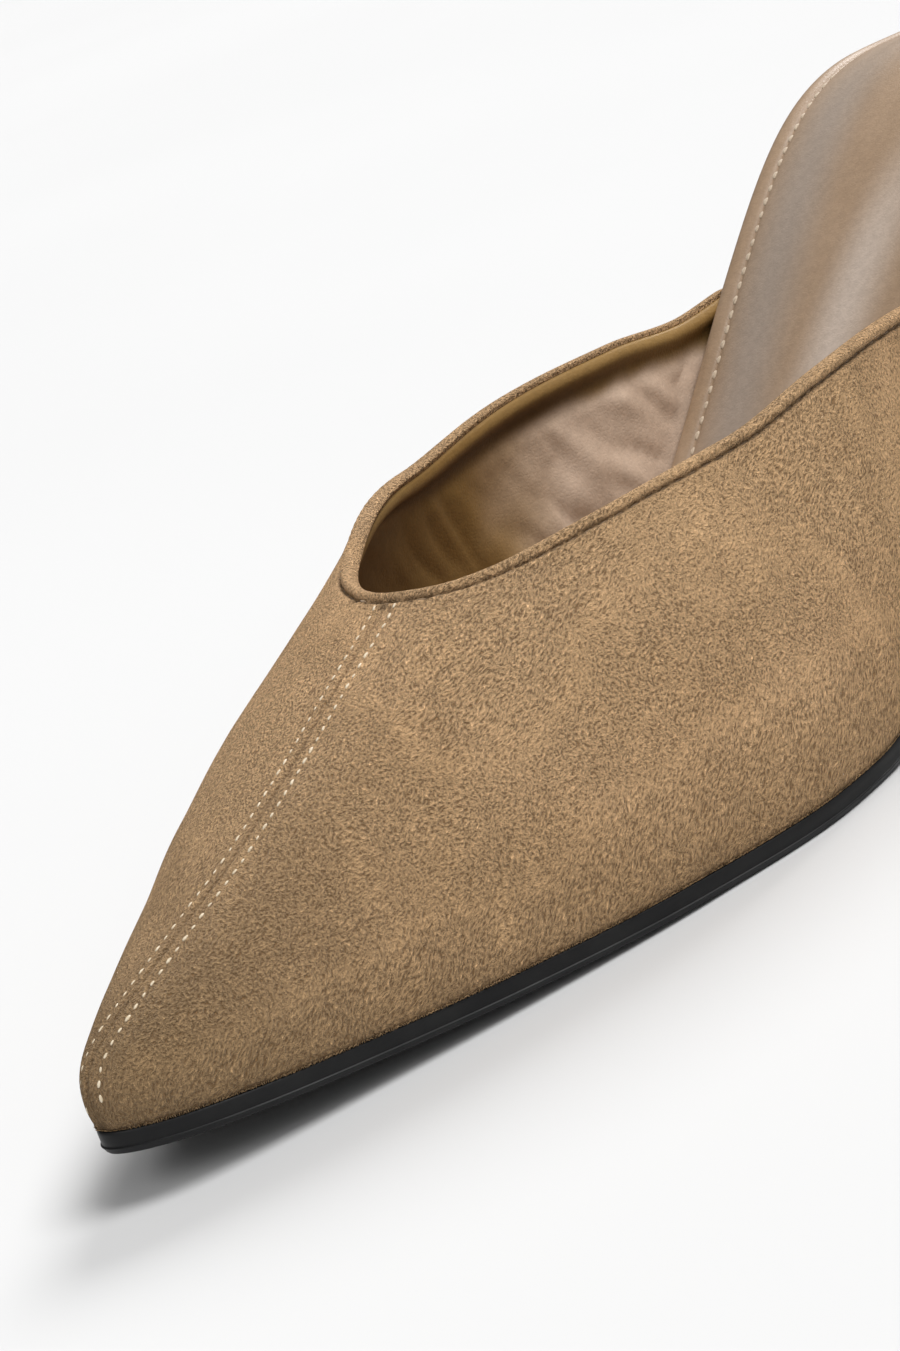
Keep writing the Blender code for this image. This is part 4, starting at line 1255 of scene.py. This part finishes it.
# %% [markdown]
# ## Floor and light
#
# The photograph has a plain white sweep. A broad soft light from above and behind the shoe throws
# its shadow past the toe, and weaker ones fill in from above, from the toe's side and from the
# camera. A large plane takes the shadow. Suns with wide angles light the whole floor evenly,
# which area lamps near the shoe wouldn't, and a faint white world fills in the rest.

# %% Floor
FLOOR_REACH = 12.0
PAPER_GREY = (0.592, 0.602)
floor_mesh = bpy.data.meshes.new("floor")
corners = [(x * FLOOR_REACH, y * FLOOR_REACH, 0) for x, y in ((-1, -1), (1, -1), (1, 1), (-1, 1))]
floor_mesh.from_pydata(corners, [], [(0, 1, 2, 3)])
floor = bpy.data.objects.new("floor", floor_mesh)
paper = Finish("white paper").constant(Specular_IOR_Level=0.1)
shade = paper.fitted(paper.noise(3, 2, 0.5), 0.3, 0.7, *PAPER_GREY)
tone = paper.node("ShaderNodeCombineColor", {0: shade, 1: shade, 2: shade}).outputs[0]
floor_mesh.materials.append(paper.surface(tone, 0.9))
bpy.context.scene.collection.objects.link(floor)


# %% Lights
def sun(name, towards, strength, spread_degrees):
    lamp = bpy.data.lights.new(name, "SUN")
    lamp.energy, lamp.angle = strength, math.radians(spread_degrees)
    made = bpy.data.objects.new(name, lamp)
    made.rotation_mode = "QUATERNION"
    made.rotation_quaternion = Vector(towards).to_track_quat("-Z", "Y")
    bpy.context.scene.collection.objects.link(made)


sun("back panel", (0.75, 0.20, -0.62), 2.4, 26)
sun("top panel", (0.20, -0.42, -0.88), 2.35, 30)
sun("side panel", (-0.72, -0.10, -0.69), 0.8, 30)
sun("camera fill", (-0.42, -0.66, -0.62), 0.6, 60)
world = bpy.data.worlds.new("studio")
world.use_nodes = True
background = world.node_tree.nodes["Background"].inputs
background["Color"].default_value = (1, 1, 1, 1)
background["Strength"].default_value = 0.17
bpy.context.scene.world = world
bpy.context.scene.view_settings.view_transform = "Standard"
bpy.context.scene.view_settings.look = "None"
print("lights:", [lamp.name for lamp in bpy.data.lights])

# %% [markdown]
# ## Camera
#
# The camera stands where the photograph was taken from: in front of the toe, on the inner side,
# a little above the shoe and tilted, so that the shoe runs up through the frame and the heel
# passes out of it at the right.

# %% Camera at the photograph's viewpoint
FRAME_HEIGHT = 1351  # pixels of the photograph, on its longer side
FOCAL_LENGTH = 3532.2  # in the same pixels
SENSOR = 36  # millimetres, for the longer side too
EYE = Vector((0.47396, 0.31788, 0.15749))
AHEAD = Vector((-0.66946, -0.69109, -0.27243)).normalized()
UPWARD = Vector((-0.42533, 0.05594, 0.90331))
RIGHTWARD = AHEAD.cross(UPWARD).normalized()
UPWARD = RIGHTWARD.cross(AHEAD).normalized()
lens = bpy.data.cameras.new("camera")
lens.sensor_width, lens.sensor_fit = SENSOR, "AUTO"
lens.lens = FOCAL_LENGTH / FRAME_HEIGHT * SENSOR
lens.clip_start, lens.clip_end = 0.01, 60
camera = bpy.data.objects.new("camera", lens)
camera.matrix_world = Matrix((
    (RIGHTWARD.x, UPWARD.x, -AHEAD.x, EYE.x),
    (RIGHTWARD.y, UPWARD.y, -AHEAD.y, EYE.y),
    (RIGHTWARD.z, UPWARD.z, -AHEAD.z, EYE.z),
    (0, 0, 0, 1),
))
bpy.context.scene.collection.objects.link(camera)
bpy.context.scene.camera = camera
print("lens", round(lens.lens, 1), "mm, eye at", [round(v, 3) for v in EYE])
